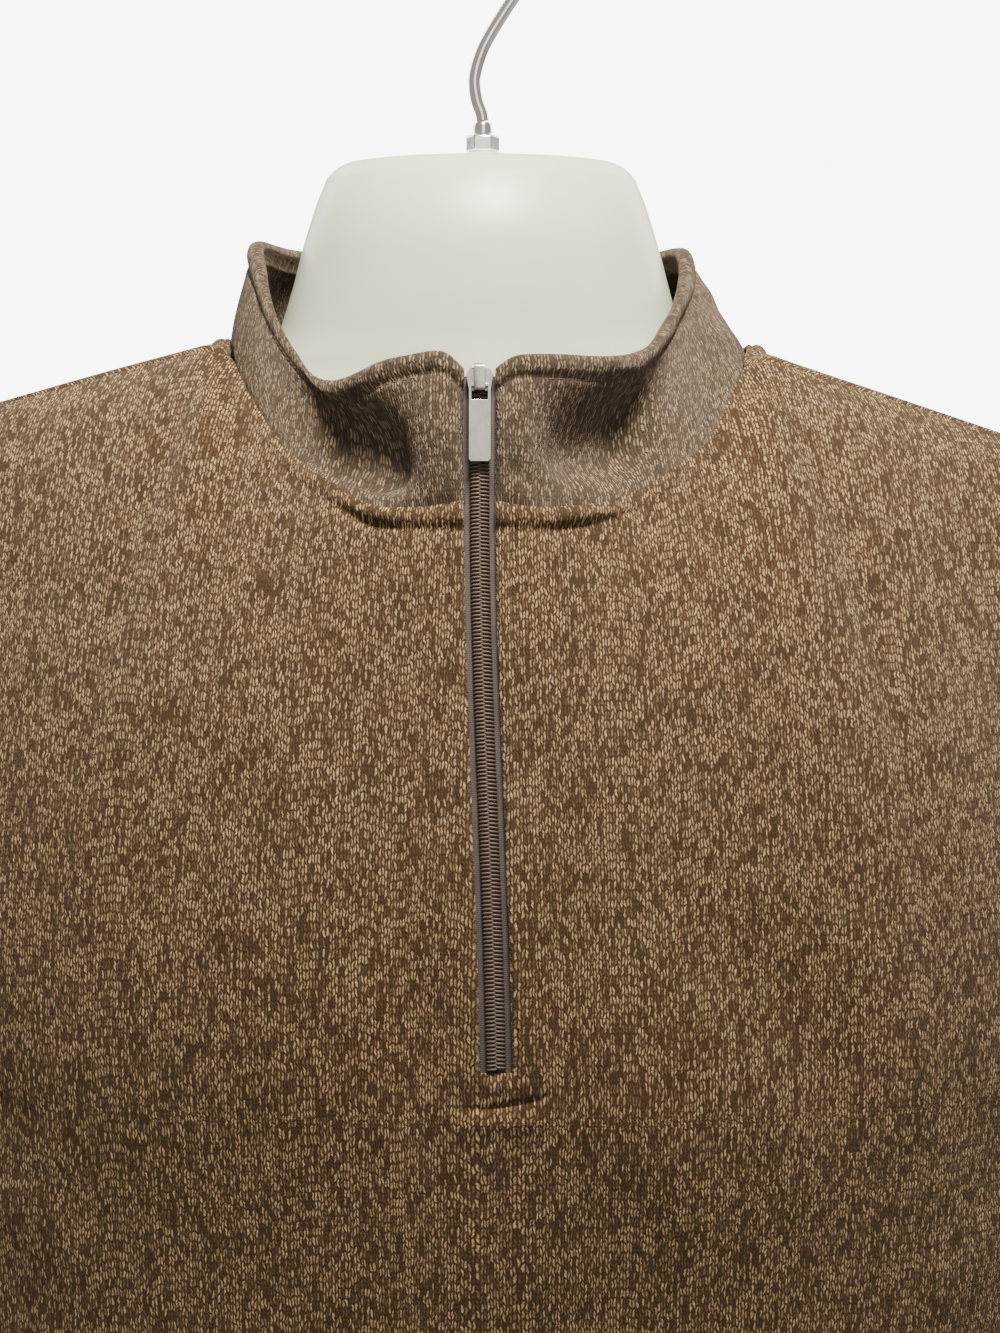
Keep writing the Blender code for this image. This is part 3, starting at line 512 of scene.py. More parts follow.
def flattened(points: np.ndarray, rounds: int = 40) -> np.ndarray:
    """Return a grid's flat pattern, on which every triangle keeps its shape as well as it can.

    Args:
        points: the grid in space.
        rounds: how often the pattern is fitted again.

    Returns:
        The pattern's points in metres, row by row.
    """
    rows, columns = points.shape[:2]
    corners = grid_cells(rows, columns).reshape(-1, 4)
    triangles = np.concatenate([corners[:, [0, 1, 2]], corners[:, [0, 2, 3]]])
    flat_points = points.reshape(-1, 3)
    first, second, third = (flat_points[triangles[:, k]] for k in range(3))
    along = unit(second - first)
    side = unit(np.cross(np.cross(along, third - first), along))
    local = np.zeros((len(triangles), 3, 2))
    local[:, 1, 0] = np.linalg.norm(second - first, axis=1)
    local[:, 2, 0] = np.sum((third - first) * along, axis=1)
    local[:, 2, 1] = np.sum((third - first) * side, axis=1)
    matrix = np.zeros((rows * columns, rows * columns))
    edges = []
    for k in range(3):
        i, j, o = k, (k + 1) % 3, (k + 2) % 3
        one, two = local[:, i] - local[:, o], local[:, j] - local[:, o]
        cross = np.abs(one[:, 0] * two[:, 1] - one[:, 1] * two[:, 0])
        weight = np.clip(np.sum(one * two, axis=1) / np.maximum(cross, 1e-12), 0.05, 20)
        a, b = triangles[:, i], triangles[:, j]
        for p, q, value in ((a, a, weight), (b, b, weight), (a, b, -weight), (b, a, -weight)):
            np.add.at(matrix, (p, q), value)
        edges.append((a, b, weight, local[:, i] - local[:, j]))
    matrix[0, 0] += 1
    solve = np.linalg.inv(matrix)
    middle = columns // 2
    across, up = walked(points, 1), walked(points, 0)
    pattern = np.stack([across - across[:, middle:middle + 1], up], axis=-1).reshape(-1, 2)
    pinned = pattern[0].copy()
    for _ in range(rounds):
        sine, cosine = 0, 0
        for a, b, weight, edge in edges:
            moved = pattern[a] - pattern[b]
            sine = sine + weight * (moved[:, 1] * edge[:, 0] - moved[:, 0] * edge[:, 1])
            cosine = cosine + weight * np.sum(moved * edge, axis=1)
        length = np.maximum(np.hypot(sine, cosine), 1e-12)
        sine, cosine = sine / length, cosine / length
        target = np.zeros_like(pattern)
        target[0] = pinned
        for a, b, weight, edge in edges:
            turned = np.stack([cosine * edge[:, 0] - sine * edge[:, 1],
                               sine * edge[:, 0] + cosine * edge[:, 1]], -1)
            np.add.at(target, a, turned * weight[:, None])
            np.add.at(target, b, -turned * weight[:, None])
        pattern = solve @ target
    pattern = pattern.reshape(rows, columns, 2)
    spine = pattern[rows // 2, middle] - pattern[0, middle]
    turn = math.atan2(spine[0], spine[1])
    cosine, sine = math.cos(turn), math.sin(turn)
    return (pattern - pattern[0, middle]) @ np.array(((cosine, sine), (-sine, cosine)))


def between(coarse: np.ndarray, rows: np.ndarray, columns: np.ndarray, at_rows: np.ndarray,
            at_columns: np.ndarray) -> np.ndarray:
    """Return a grid's values read smoothly at other rows and columns.

    Args:
        coarse: the grid's values.
        rows: its row keys.
        columns: its column keys.
        at_rows: the row keys to read at.
        at_columns: the column keys to read at.

    Returns:
        The values at the new rows and columns.
    """
    count = coarse.shape[2]
    first = np.column_stack([columns, np.moveaxis(coarse, 1, 0).reshape(len(columns), -1)])
    wide = Curve(first).at(at_columns).reshape(len(at_columns), len(rows), count)
    second = np.column_stack([rows, np.moveaxis(wide, 1, 0).reshape(len(rows), -1)])
    return Curve(second).at(at_rows).reshape(len(at_rows), len(at_columns), count)


def shoulder_lift(points: np.ndarray, rows: np.ndarray) -> np.ndarray:
    """Return how far the cloth on the shoulders stands up, as vectors.

    Args:
        points: the panel's grid.
        rows: its row keys.

    Returns:
        A vector for each point.
    """
    aside = np.abs(points[..., 0]) / MM
    (start, taken), (neck, neck_fade), (tip, tip_fade) = RISE_ROWS, RISE_NECK, RISE_TIP
    high = ease((rows - start) / taken)[:, None]
    rise = SHOULDER_RISE * ease((aside - neck) / neck_fade) * ease((tip - aside) / tip_fade) * high
    return rise[..., None] * np.array((0.0, 0.0, 1.0))


def creased(pattern: np.ndarray, creases: tuple) -> np.ndarray:
    """Return how far a table of creases lifts each point of a flat pattern, in metres.

    Args:
        pattern: the flat pattern.
        creases: the table.

    Returns:
        The lift of each point.
    """
    lift = np.zeros(pattern.shape[:2])
    for start_u, start_v, end_u, end_v, width, height, bow in creases:
        start, end = np.array((start_u, start_v)) * MM, np.array((end_u, end_v)) * MM
        way = end - start
        length = np.linalg.norm(way)
        way = way / length
        rest = pattern - start
        along = np.sum(rest * way, axis=-1) / length
        inside = np.clip(along, 0, 1)
        across = rest[..., 1] * way[0] - rest[..., 0] * way[1] - bow * MM * np.sin(math.pi * inside)
        off = np.hypot(across, (along - inside) * length)
        fade = 0.25 + 0.75 * np.sin(math.pi * inside)
        lift += height * MM * fade * np.exp(-(off / (width * MM)) ** 2)
    return lift


def waves(u: np.ndarray, v: np.ndarray, kind: tuple[int, float, float], count: int = 14) -> np.ndarray:
    """Return soft seeded waves over a flat pattern.

    Args:
        u: the pattern's first coordinate in metres.
        v: its second coordinate.
        kind: the seed of the draw, the waves' length in metres and their height.
        count: how many waves are added up.

    Returns:
        Values between about the height below 0 and above it.
    """
    seed, size, height = kind
    draw = np.random.default_rng(seed)
    total = np.zeros(np.broadcast(u, v).shape)
    for _ in range(count):
        angle, phase = draw.uniform(0, 2 * math.pi, 2)
        pitch = 2 * math.pi / (size * draw.uniform(0.6, 1.7))
        total += np.sin(pitch * (u * math.cos(angle) + v * math.sin(angle)) + phase)
    return total / math.sqrt(count) * height


class Graph:
    """A material's node tree, built by short calls."""

    def __init__(self, name: str) -> None:
        """Start a material with a Principled shader."""
        self.material = bpy.data.materials.new(name)
        self.material.use_nodes = True
        self.tree = self.material.node_tree
        self.shader = self.tree.nodes["Principled BSDF"]

    def put(self, value: object, socket: bpy.types.NodeSocket) -> None:
        """Link a socket to another, or give it a plain value."""
        if isinstance(value, bpy.types.NodeSocket):
            self.tree.links.new(value, socket)
        elif isinstance(value, tuple) and socket.type == "RGBA" and len(value) == 3:
            socket.default_value = (*value, 1)
        else:
            socket.default_value = value

    def node(self, kind: str, values: dict | None = None, **settings: object) -> bpy.types.Node:
        """Add a node with its settings and the values or links of its inputs."""
        made = self.tree.nodes.new(kind)
        for name, value in settings.items():
            setattr(made, name, value)
        for name, value in (values or {}).items():
            self.put(value, made.inputs[name])
        return made

    def math(self, operation: str, *values: object) -> bpy.types.NodeSocket:
        """Return the result of a math node."""
        return self.node("ShaderNodeMath", dict(enumerate(values)), operation=operation).outputs[0]

    def vector(self, operation: str, values: dict) -> bpy.types.NodeSocket:
        """Return the result of a vector math node."""
        return self.node("ShaderNodeVectorMath", values, operation=operation).outputs[0]

    def place(self) -> bpy.types.NodeSocket:
        """Return the object's own coordinates."""
        return self.node("ShaderNodeTexCoord").outputs["Object"]

    def mix(self, share: object, first: object, second: object) -> bpy.types.NodeSocket:
        """Return a mix of two colours."""
        made = self.node("ShaderNodeMix", data_type="RGBA")
        self.put(share, made.inputs[0])
        self.put(first, made.inputs[6])
        self.put(second, made.inputs[7])
        return made.outputs[2]

    def ramp(self, value: object, low: float, high: float, to_low: float = 0,
             to_high: float = 1) -> bpy.types.NodeSocket:
        """Return a value stepped smoothly from one range to another."""
        made = self.node("ShaderNodeMapRange", interpolation_type="SMOOTHSTEP")
        for name, number in (("From Min", low), ("From Max", high), ("To Min", to_low), ("To Max", to_high)):
            made.inputs[name].default_value = number
        self.put(value, made.inputs["Value"])
        return made.outputs["Result"]

    def noise(self, vector: object, scale: float, detail: float = 2, rough: float = 0.5,
              output: str = "Fac") -> bpy.types.NodeSocket:
        """Return a noise's value, or its colour."""
        values = {"Vector": vector, "Scale": scale, "Detail": detail, "Roughness": rough}
        return self.node("ShaderNodeTexNoise", values).outputs[output]

    def wave(self, vector: object, scale: float, distortion: float, bands: str) -> bpy.types.NodeSocket:
        """Return the value of bands across X, Z or the diagonal."""
        values = {"Vector": vector, "Scale": scale, "Distortion": distortion}
        return self.node("ShaderNodeTexWave", values, bands_direction=bands).outputs["Fac"]

    def bump(self, height: object, distance: float, strength: float = 1) -> None:
        """Drive the shader's normal by a height."""
        made = self.node("ShaderNodeBump", {"Height": height, "Distance": distance, "Strength": strength})
        self.tree.links.new(made.outputs["Normal"], self.shader.inputs["Normal"])

    def set(self, **values: object) -> None:
        """Set or link the shader's own sockets, named with _ for a space."""
        for name, value in values.items():
            self.put(value, self.shader.inputs[name.replace("_", " ")])


def scaled(colour: tuple, *weights: float) -> tuple:
    """Return a colour times one weight, or times a weight for each of red, green and blue."""
    return tuple(part * weight for part, weight in zip(colour, weights * 3))


@dataclass(frozen=True)
class MarledKnit:
    """Plain knit in a yarn of one dark and one light ply.

    Attributes:
        name: the material's name.
        dark: the dark ply.
        light: the light ply.
        share: how much of the face the light ply takes, from 0 to 1.
        slot: the record's material slot, not used.
    """

    name: str
    dark: tuple[float, float, float] = (0.045, 0.0245, 0.0098)
    light: tuple[float, float, float] = (0.60, 0.415, 0.22)
    share: float = 0.56
    slot: str = "marled_knit"

    def build(self) -> bpy.types.Material:
        """Return the material, laid on the flat pattern's coordinates in metres."""
        g = Graph(self.name)
        coords = g.node("ShaderNodeUVMap", uv_map="pattern").outputs[0]
        grain = g.vector("SCALE", {0: coords, "Scale": 1 / MM})
        drift = g.vector("SUBTRACT", {0: g.noise(grain, 0.35, 2, output="Color"), 1: (0.5, 0.5, 0.5)})
        drift = g.vector("SCALE", {0: drift, "Scale": 1.5})
        parts = g.node("ShaderNodeSeparateXYZ", {0: g.vector("ADD", {0: grain, 1: drift})})
        u, v = parts.outputs[0], parts.outputs[1]
        wale = g.math("DIVIDE", u, KNIT_WALE)
        column = g.math("FLOOR", wale)
        offset = g.math("SUBTRACT", g.math("FRACT", wale), 0.5)
        side = g.math("GREATER_THAN", offset, 0.0)
        out = g.math("MULTIPLY", g.math("ABSOLUTE", offset), 2.0)
        edge = g.math("MULTIPLY", g.math("ABSOLUTE", g.math("SUBTRACT", out, 0.5)), 2.0)
        leg = g.math("MULTIPLY_ADD", column, 2.0, side)
        slid = g.math("MULTIPLY_ADD", out, KNIT_SLANT, v)
        course = g.math("FRACT", g.math("DIVIDE", slid, KNIT_COURSE))
        start = g.node("ShaderNodeTexWhiteNoise", {"W": leg}, noise_dimensions="1D").outputs["Value"]
        run = g.math("MULTIPLY_ADD", start, 9.0, g.math("DIVIDE", slid, FLECK_LENGTH))
        piece = g.node("ShaderNodeCombineXYZ", {0: leg, 1: g.math("FLOOR", run)}).outputs[0]
        draw = g.node("ShaderNodeTexWhiteNoise", {"Vector": piece}, noise_dimensions="2D")
        place = g.math("ABSOLUTE", g.math("SUBTRACT", g.math("FRACT", run), 0.5))
        patch = g.noise(grain, 0.07, 3, 0.6)
        streak_at = g.node("ShaderNodeMapping", {"Vector": grain, "Scale": (0.45, 0.09, 1)}).outputs[0]
        streak = g.noise(streak_at, 1.0, 3, 0.6)
        chance = g.math("ADD", draw.outputs["Value"], g.math("MULTIPLY", g.math("SUBTRACT", patch, 0.5), 0.5))
        chance = g.math("ADD", chance, g.math("MULTIPLY", g.math("SUBTRACT", streak, 0.5), 0.4))
        lit = g.ramp(chance, 0.56 - self.share, 1.58 - self.share)
        lit = g.math("MULTIPLY", lit, g.ramp(place, 0.49, 0.22))
        lit = g.math("MULTIPLY", lit, g.ramp(edge, 0.92, 0.12))
        hair_at = g.node("ShaderNodeMapping", {"Vector": grain, "Scale": (3.2, 1.0, 1)}).outputs[0]
        hair = g.noise(hair_at, 1.3, 3, 0.65)
        lit = g.math("MULTIPLY", lit, g.ramp(hair, 0.3, 0.62, 0.45, 1))
        tone = g.mix(g.ramp(hair, 0.35, 0.7), scaled(self.dark, 0.72), scaled(self.dark, 1.5))
        tone = g.mix(g.ramp(patch, 0.3, 0.7, 0, 0.35), tone, scaled(self.dark, 1.5, 1.3, 1.2))
        # Painted shade: the gaps between the loops' legs are painted darker than the dark ply itself
        tone = g.mix(g.ramp(edge, 0.45, 1.0, 0, 0.3), tone, scaled(self.dark, 0.45))
        warm = g.mix(g.node("ShaderNodeSeparateColor", {0: draw.outputs["Color"]}).outputs[2],
                     self.light, scaled(self.light, 0.80, 0.74, 0.68))
        g.set(Base_Color=g.mix(lit, tone, warm), Roughness=0.92, Specular_IOR_Level=0.18,
              Sheen_Weight=0.1, Sheen_Roughness=0.45, Sheen_Tint=(0.85, 0.74, 0.62))
        round_leg = g.math("SUBTRACT", 1.0, g.math("MULTIPLY", edge, edge))
        round_course = g.math("SINE", g.math("MULTIPLY", course, math.pi))
        height = g.math("MULTIPLY", round_leg, g.math("MULTIPLY_ADD", round_course, 0.3, 0.7))
        height = g.math("MULTIPLY_ADD", hair, 0.35, height)
        height = g.math("MULTIPLY_ADD", lit, 0.35, height)
        g.bump(height, 0.55 * MM, 0.8)
        return g.material


@dataclass(frozen=True)
class WovenTape:
    """Fine woven tape.

    Attributes:
        name: the material's name.
        colour: its colour.
        slot: the record's material slot, not used.
    """

    name: str = "zip_tape"
    colour: tuple[float, float, float] = (0.062, 0.046, 0.040)
    slot: str = "zip_tape"

    def build(self) -> bpy.types.Material:
        """Return the material."""
        g = Graph(self.name)
        where = g.place()
        weave = g.math("MULTIPLY", g.wave(where, 520.0, 1.2, "Z"), g.wave(where, 620.0, 0.6, "X"))
        cloud = g.noise(where, 160.0, 3)
        colour = g.mix(weave, scaled(self.colour, 0.6), scaled(self.colour, 1.35))
        colour = g.mix(g.ramp(cloud, 0.3, 0.7, 0, 0.4), colour, scaled(self.colour, 1.5))
        g.set(Base_Color=colour, Roughness=0.85, Sheen_Weight=0.2, Sheen_Roughness=0.5)
        g.bump(weave, 0.15 * MM, 0.7)
        return g.material


@dataclass(frozen=True)
class MouldedPlastic:
    """Smooth moulded plastic.

    Attributes:
        name: the material's name.
        colour: its colour.
        roughness: how dull it is.
        depth: how far light goes into it, in metres.
        slot: the record's material slot, not used.
    """

    name: str
    colour: tuple[float, float, float]
    roughness: float
    depth: float
    slot: str

    def build(self) -> bpy.types.Material:
        """Return the material."""
        g = Graph(self.name)
        where = g.place()
        cloud = g.noise(where, 9.0, 3, 0.5)
        grain = g.noise(where, 900.0, 2, 0.6)
        colour = g.mix(g.ramp(cloud, 0.3, 0.7), scaled(self.colour, 0.965), self.colour)
        rough = g.ramp(g.noise(where, 45.0, 4, 0.6), 0.3, 0.7, self.roughness - 0.05, self.roughness + 0.06)
        g.set(Base_Color=colour, Roughness=rough, Specular_IOR_Level=0.45)
        if self.depth:
            g.set(Subsurface_Weight=0.55, Subsurface_Radius=(1.0, 0.95, 0.8), Subsurface_Scale=self.depth)
        g.bump(grain, 0.03 * MM, 0.35)
        return g.material


@dataclass(frozen=True)
class Steel:
    """Plated steel, satin or bright.

    Attributes:
        name: the material's name.
        colour: its colour.
        roughness: how dull it is.
        brushed: how strong its fine lines are, from 0 to 1.
        slot: the record's material slot, not used.
    """

    name: str
    colour: tuple[float, float, float]
    roughness: float
    brushed: float
    slot: str

    def build(self) -> bpy.types.Material:
        """Return the material."""
        g = Graph(self.name)
        where = g.place()
        lines_at = g.node("ShaderNodeMapping", {"Vector": where, "Scale": (2400, 2400, 120)}).outputs[0]
        lines = g.noise(lines_at, 1.0, 3, 0.6)
        wear = g.noise(where, 260.0, 4, 0.6)
        colour = g.mix(g.ramp(wear, 0.35, 0.75), self.colour, scaled(self.colour, 0.86))
        rough = g.ramp(wear, 0.3, 0.7, self.roughness * 0.8, self.roughness * 1.3)
        g.set(Base_Color=colour, Metallic=1.0, Roughness=rough)
        g.bump(lines, 0.02 * MM, self.brushed)
        return g.material


@dataclass(frozen=True)
class Thread:
    """Twisted sewing thread.

    Attributes:
        name: the material's name.
        colour: its colour.
        slot: the record's material slot, not used.
    """

    name: str = "thread"
    colour: tuple[float, float, float] = (0.040, 0.025, 0.015)
    slot: str = "marled_knit"

    def build(self) -> bpy.types.Material:
        """Return the material."""
        g = Graph(self.name)
        twist = g.wave(g.place(), 900.0, 2.0, "DIAGONAL")
        colour = g.mix(twist, self.colour, scaled(self.colour, 1.7))
        g.set(Base_Color=colour, Roughness=0.7, Sheen_Weight=0.15)
        g.bump(twist, 0.08 * MM, 0.6)
        return g.material


BODY_KNIT = MarledKnit("marled_knit")
COLLAR_KNIT = MarledKnit("collar_knit", dark=(0.050, 0.034, 0.0215), light=(0.425, 0.318, 0.207), share=0.52,
                         slot="collar_knit")
TAPE = WovenTape()
COIL = MouldedPlastic("zip_coil", (0.088, 0.056, 0.038), 0.52, 0.0, "zip_coil")
SATIN = Steel("satin_steel", (0.375, 0.365, 0.325), 0.31, 0.5, "satin_steel")
CHROME = Steel("chrome", (0.97, 0.94, 0.88), 0.15, 0.1, "chrome")
WAXY = MouldedPlastic("form_plastic", (0.67, 0.70, 0.52), 0.34, 0.012, "form_plastic")
THREAD = Thread()


def link(name: str, data: bpy.types.ID) -> bpy.types.Object:
    """Return a new object in the scene."""
    made = bpy.data.objects.new(name, data)
    bpy.context.collection.objects.link(made)
    return made


def add_mesh(name: str, points: np.ndarray, faces: list, crease: float = 60,
             pattern: np.ndarray | None = None, weld: bool = False) -> bpy.types.Object:
    """Return a new object, shaded smooth between its creases.

    Args:
        name: its name.
        points: its points.
        faces: its faces, as tuples of indices.
        crease: the angle in degrees past which an edge is sharp.
        pattern: the flat pattern's place of each point, or None.
        weld: whether points that lie together are joined.

    Returns:
        The object.
    """
    mesh = bpy.data.meshes.new(name)
    mesh.from_pydata(np.asarray(points).tolist(), [], faces)
    if pattern is not None:
        corner = np.zeros(len(mesh.loops), dtype=int)
        mesh.loops.foreach_get("vertex_index", corner)
        mesh.uv_layers.new(name="pattern").data.foreach_set("uv", pattern[corner].astype(np.float32).ravel())
    build = bmesh.new()
    build.from_mesh(mesh)
    if weld:
        bmesh.ops.remove_doubles(build, verts=build.verts, dist=1e-6)
    loose = [vertex for vertex in build.verts if not vertex.link_faces]
    bmesh.ops.delete(build, geom=loose, context="VERTS")
    bmesh.ops.recalc_face_normals(build, faces=build.faces)
    build.to_mesh(mesh)
    build.free()
    mesh.shade_smooth()
    mesh.set_sharp_from_angle(angle=math.radians(crease))
    return link(name, mesh)


def cloth_wall(name: str, outer: np.ndarray, inner: np.ndarray, pattern: np.ndarray,
               cut: tuple[int, int, int] | None = None, weld: bool = False) -> bpy.types.Object:
    """Return a closed wall between two grids.

    Args:
        name: the piece's name.
        outer: the outer grid.
        inner: the inner grid.
        pattern: the flat pattern's place of each grid point.
        cut: the row from which cells are left open up to the top, and their first and last columns, or None.
        weld: whether the first and last columns lie together and are joined.

    Returns:
        The wall.
    """
    rows, columns = outer.shape[:2]
    count = rows * columns
    cells = grid_cells(rows, columns)
    keep = np.ones(cells.shape[:2], dtype=bool)
    if cut:
        keep[cut[0]:, cut[1]:cut[2]] = False
    faces = [tuple(face) for face in cells[keep].tolist()]
    edges = {(face[i], face[(i + 1) % 4]) for face in faces for i in range(4)}
    rims = [(b, a, a + count, b + count) for a, b in sorted(edges) if (b, a) not in edges]
    if weld:
        seam = {row * columns for row in range(rows)} | {row * columns + columns - 1 for row in range(rows)}
        rims = [rim for rim in rims
                if not (rim[0] in seam and rim[1] in seam and abs(rim[0] - rim[1]) == columns)]
    backs = [tuple(i + count for i in reversed(face)) for face in faces]
    points = np.concatenate([outer.reshape(-1, 3), inner.reshape(-1, 3)])
    places = np.concatenate([pattern.reshape(-1, 2), pattern.reshape(-1, 2)])
    return add_mesh(name, points, faces + backs + rims, 70, places, weld)


def ring_faces(rings: int, size: int) -> list[tuple[int, ...]]:
    """Return the faces of a capped tube through rings of points."""
    index = np.arange(rings * size).reshape(rings, size)
    after = np.roll(index, -1, axis=1)
    cells = np.stack([index[:-1], index[1:], after[1:], after[:-1]], axis=-1).reshape(-1, 4)
    return [tuple(face) for face in [*cells.tolist(), index[0].tolist(), index[-1][::-1].tolist()]]


def loft(name: str, loops: np.ndarray, crease: float = 50) -> bpy.types.Object:
    """Return a solid through closed loops of points."""
    return add_mesh(name, loops.reshape(-1, 3), ring_faces(*loops.shape[:2]), crease)


def rings_about_hook(rows: tuple, turns: np.ndarray) -> np.ndarray:
    """Return rings of points about the hook's axis, from rows of radius and height in millimetres."""
    return np.stack([np.stack([HOOK_X + radius * MM * np.sin(turns), -radius * MM * np.cos(turns),
                               0 * turns + z * MM], -1) for radius, z in rows])


def round_edges(piece: bpy.types.Object, width: float, segments: int) -> bpy.types.Modifier:
    """Return a piece's new bevel."""
    bevel = piece.modifiers.new("edges", "BEVEL")
    bevel.width = width
    bevel.segments = segments
    return bevel


@functools.cache
def material_of(finish: object) -> bpy.types.Material:
    """Return a finish's material, built once."""
    return finish.build()


def finish_piece(piece: bpy.types.Object, finish: object, body: str, *nodes: str) -> bpy.types.Object:
    """Give a piece its material and the body that it rides on.

    Args:
        piece: the piece.
        finish: a finish with a build method and a slot.
        body: the CAD body's name.
        nodes: the CAD nodes that it stands for.

    Returns:
        The same piece.
    """
    piece.data.materials.clear()
    piece.data.materials.append(material_of(finish))
    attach(piece, body)
    if nodes:
        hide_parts(*nodes)
    return piece


@dataclass
class StitchRow:
    """A row of short machine stitches that lies along a line on the cloth.

    Attributes:
        line: points along the line.
        out: the cloth's outward normals at those points.
        length: a stitch's length in metres.
        gap: the gap between two stitches.
        radius: the thread's radius.
    """

    line: np.ndarray
    out: np.ndarray
    length: float = 2.5 * MM
    gap: float = 0.7 * MM
    radius: float = 0.24 * MM

    def tubes(self) -> np.ndarray:
        """Return every stitch as rings of points, with axes stitch, ring, point and coordinate."""
        along_line = run_length(self.line)
        starts = np.arange(0, along_line[-1] - self.length, self.length + self.gap)
        parts = np.array((0.0, 0.12, 0.5, 0.88, 1.0))
        sizes = np.array((0.25, 0.85, 1.0, 0.85, 0.25)) * self.radius
        sinks = np.array((-0.55, -0.1, 0.35, -0.1, -0.55)) * self.radius
        where = (starts[:, None] + parts * self.length).ravel()
        spine = read_line(where, along_line, self.line).reshape(len(starts), len(parts), 3)
        out = unit(read_line(where, along_line, self.out)).reshape(len(starts), len(parts), 3)
        along = unit(spine[:, -1:] - spine[:, :1])
        side = unit(np.cross(along, out))
        turns = (np.arange(6) * math.pi / 3)[:, None]
        ring = side[:, :, None] * np.cos(turns) + out[:, :, None] * np.sin(turns)
        centre = spine + out * sinks[None, :, None]
        return centre[:, :, None] + ring * sizes[None, :, None, None]


def tubes_mesh(name: str, tubes: np.ndarray, crease: float = 60) -> bpy.types.Object:
    """Return one object made of many capped tubes with axes tube, ring, point and coordinate."""
    count, rings, size = tubes.shape[:3]
    faces = [tuple(i + tube * rings * size for i in face) for tube in range(count)
             for face in ring_faces(rings, size)]
    return add_mesh(name, tubes.reshape(-1, 3), faces, crease)


def sewn(name: str, lines: list[StitchRow]) -> bpy.types.Object:
    """Return rows of stitches as one finished piece."""
    return finish_piece(tubes_mesh(name, np.concatenate([line.tubes() for line in lines])), THREAD, BODY)


def hem_stitches(name: str, heights: np.ndarray, outer: np.ndarray, out: np.ndarray) -> bpy.types.Object:
    """Return the two rows of stitches that hold a turned hem.

    Args:
        name: the piece's name.
        heights: each row's height above the hem's edge in millimetres.
        outer: the cloth's outer grid.
        out: its normals.

    Returns:
        The finished piece.
    """
    rows = [int(np.argmin(np.abs(heights - height))) for height in HEM_STITCHES]
    return sewn(name, [StitchRow(outer[row], out[row]) for row in rows])


def flat_size(pattern: np.ndarray, points: np.ndarray) -> tuple[float, float, float]:
    """Return a flat pattern's width and length, and the area of the grid that it was laid out from."""
    width, length = np.ptp(pattern.reshape(-1, 2), axis=0)
    corners = np.cross(np.diff(points, axis=1)[:-1], np.diff(points, axis=0)[:, :-1])
    return float(width), float(length), float(np.linalg.norm(corners, axis=-1).sum())


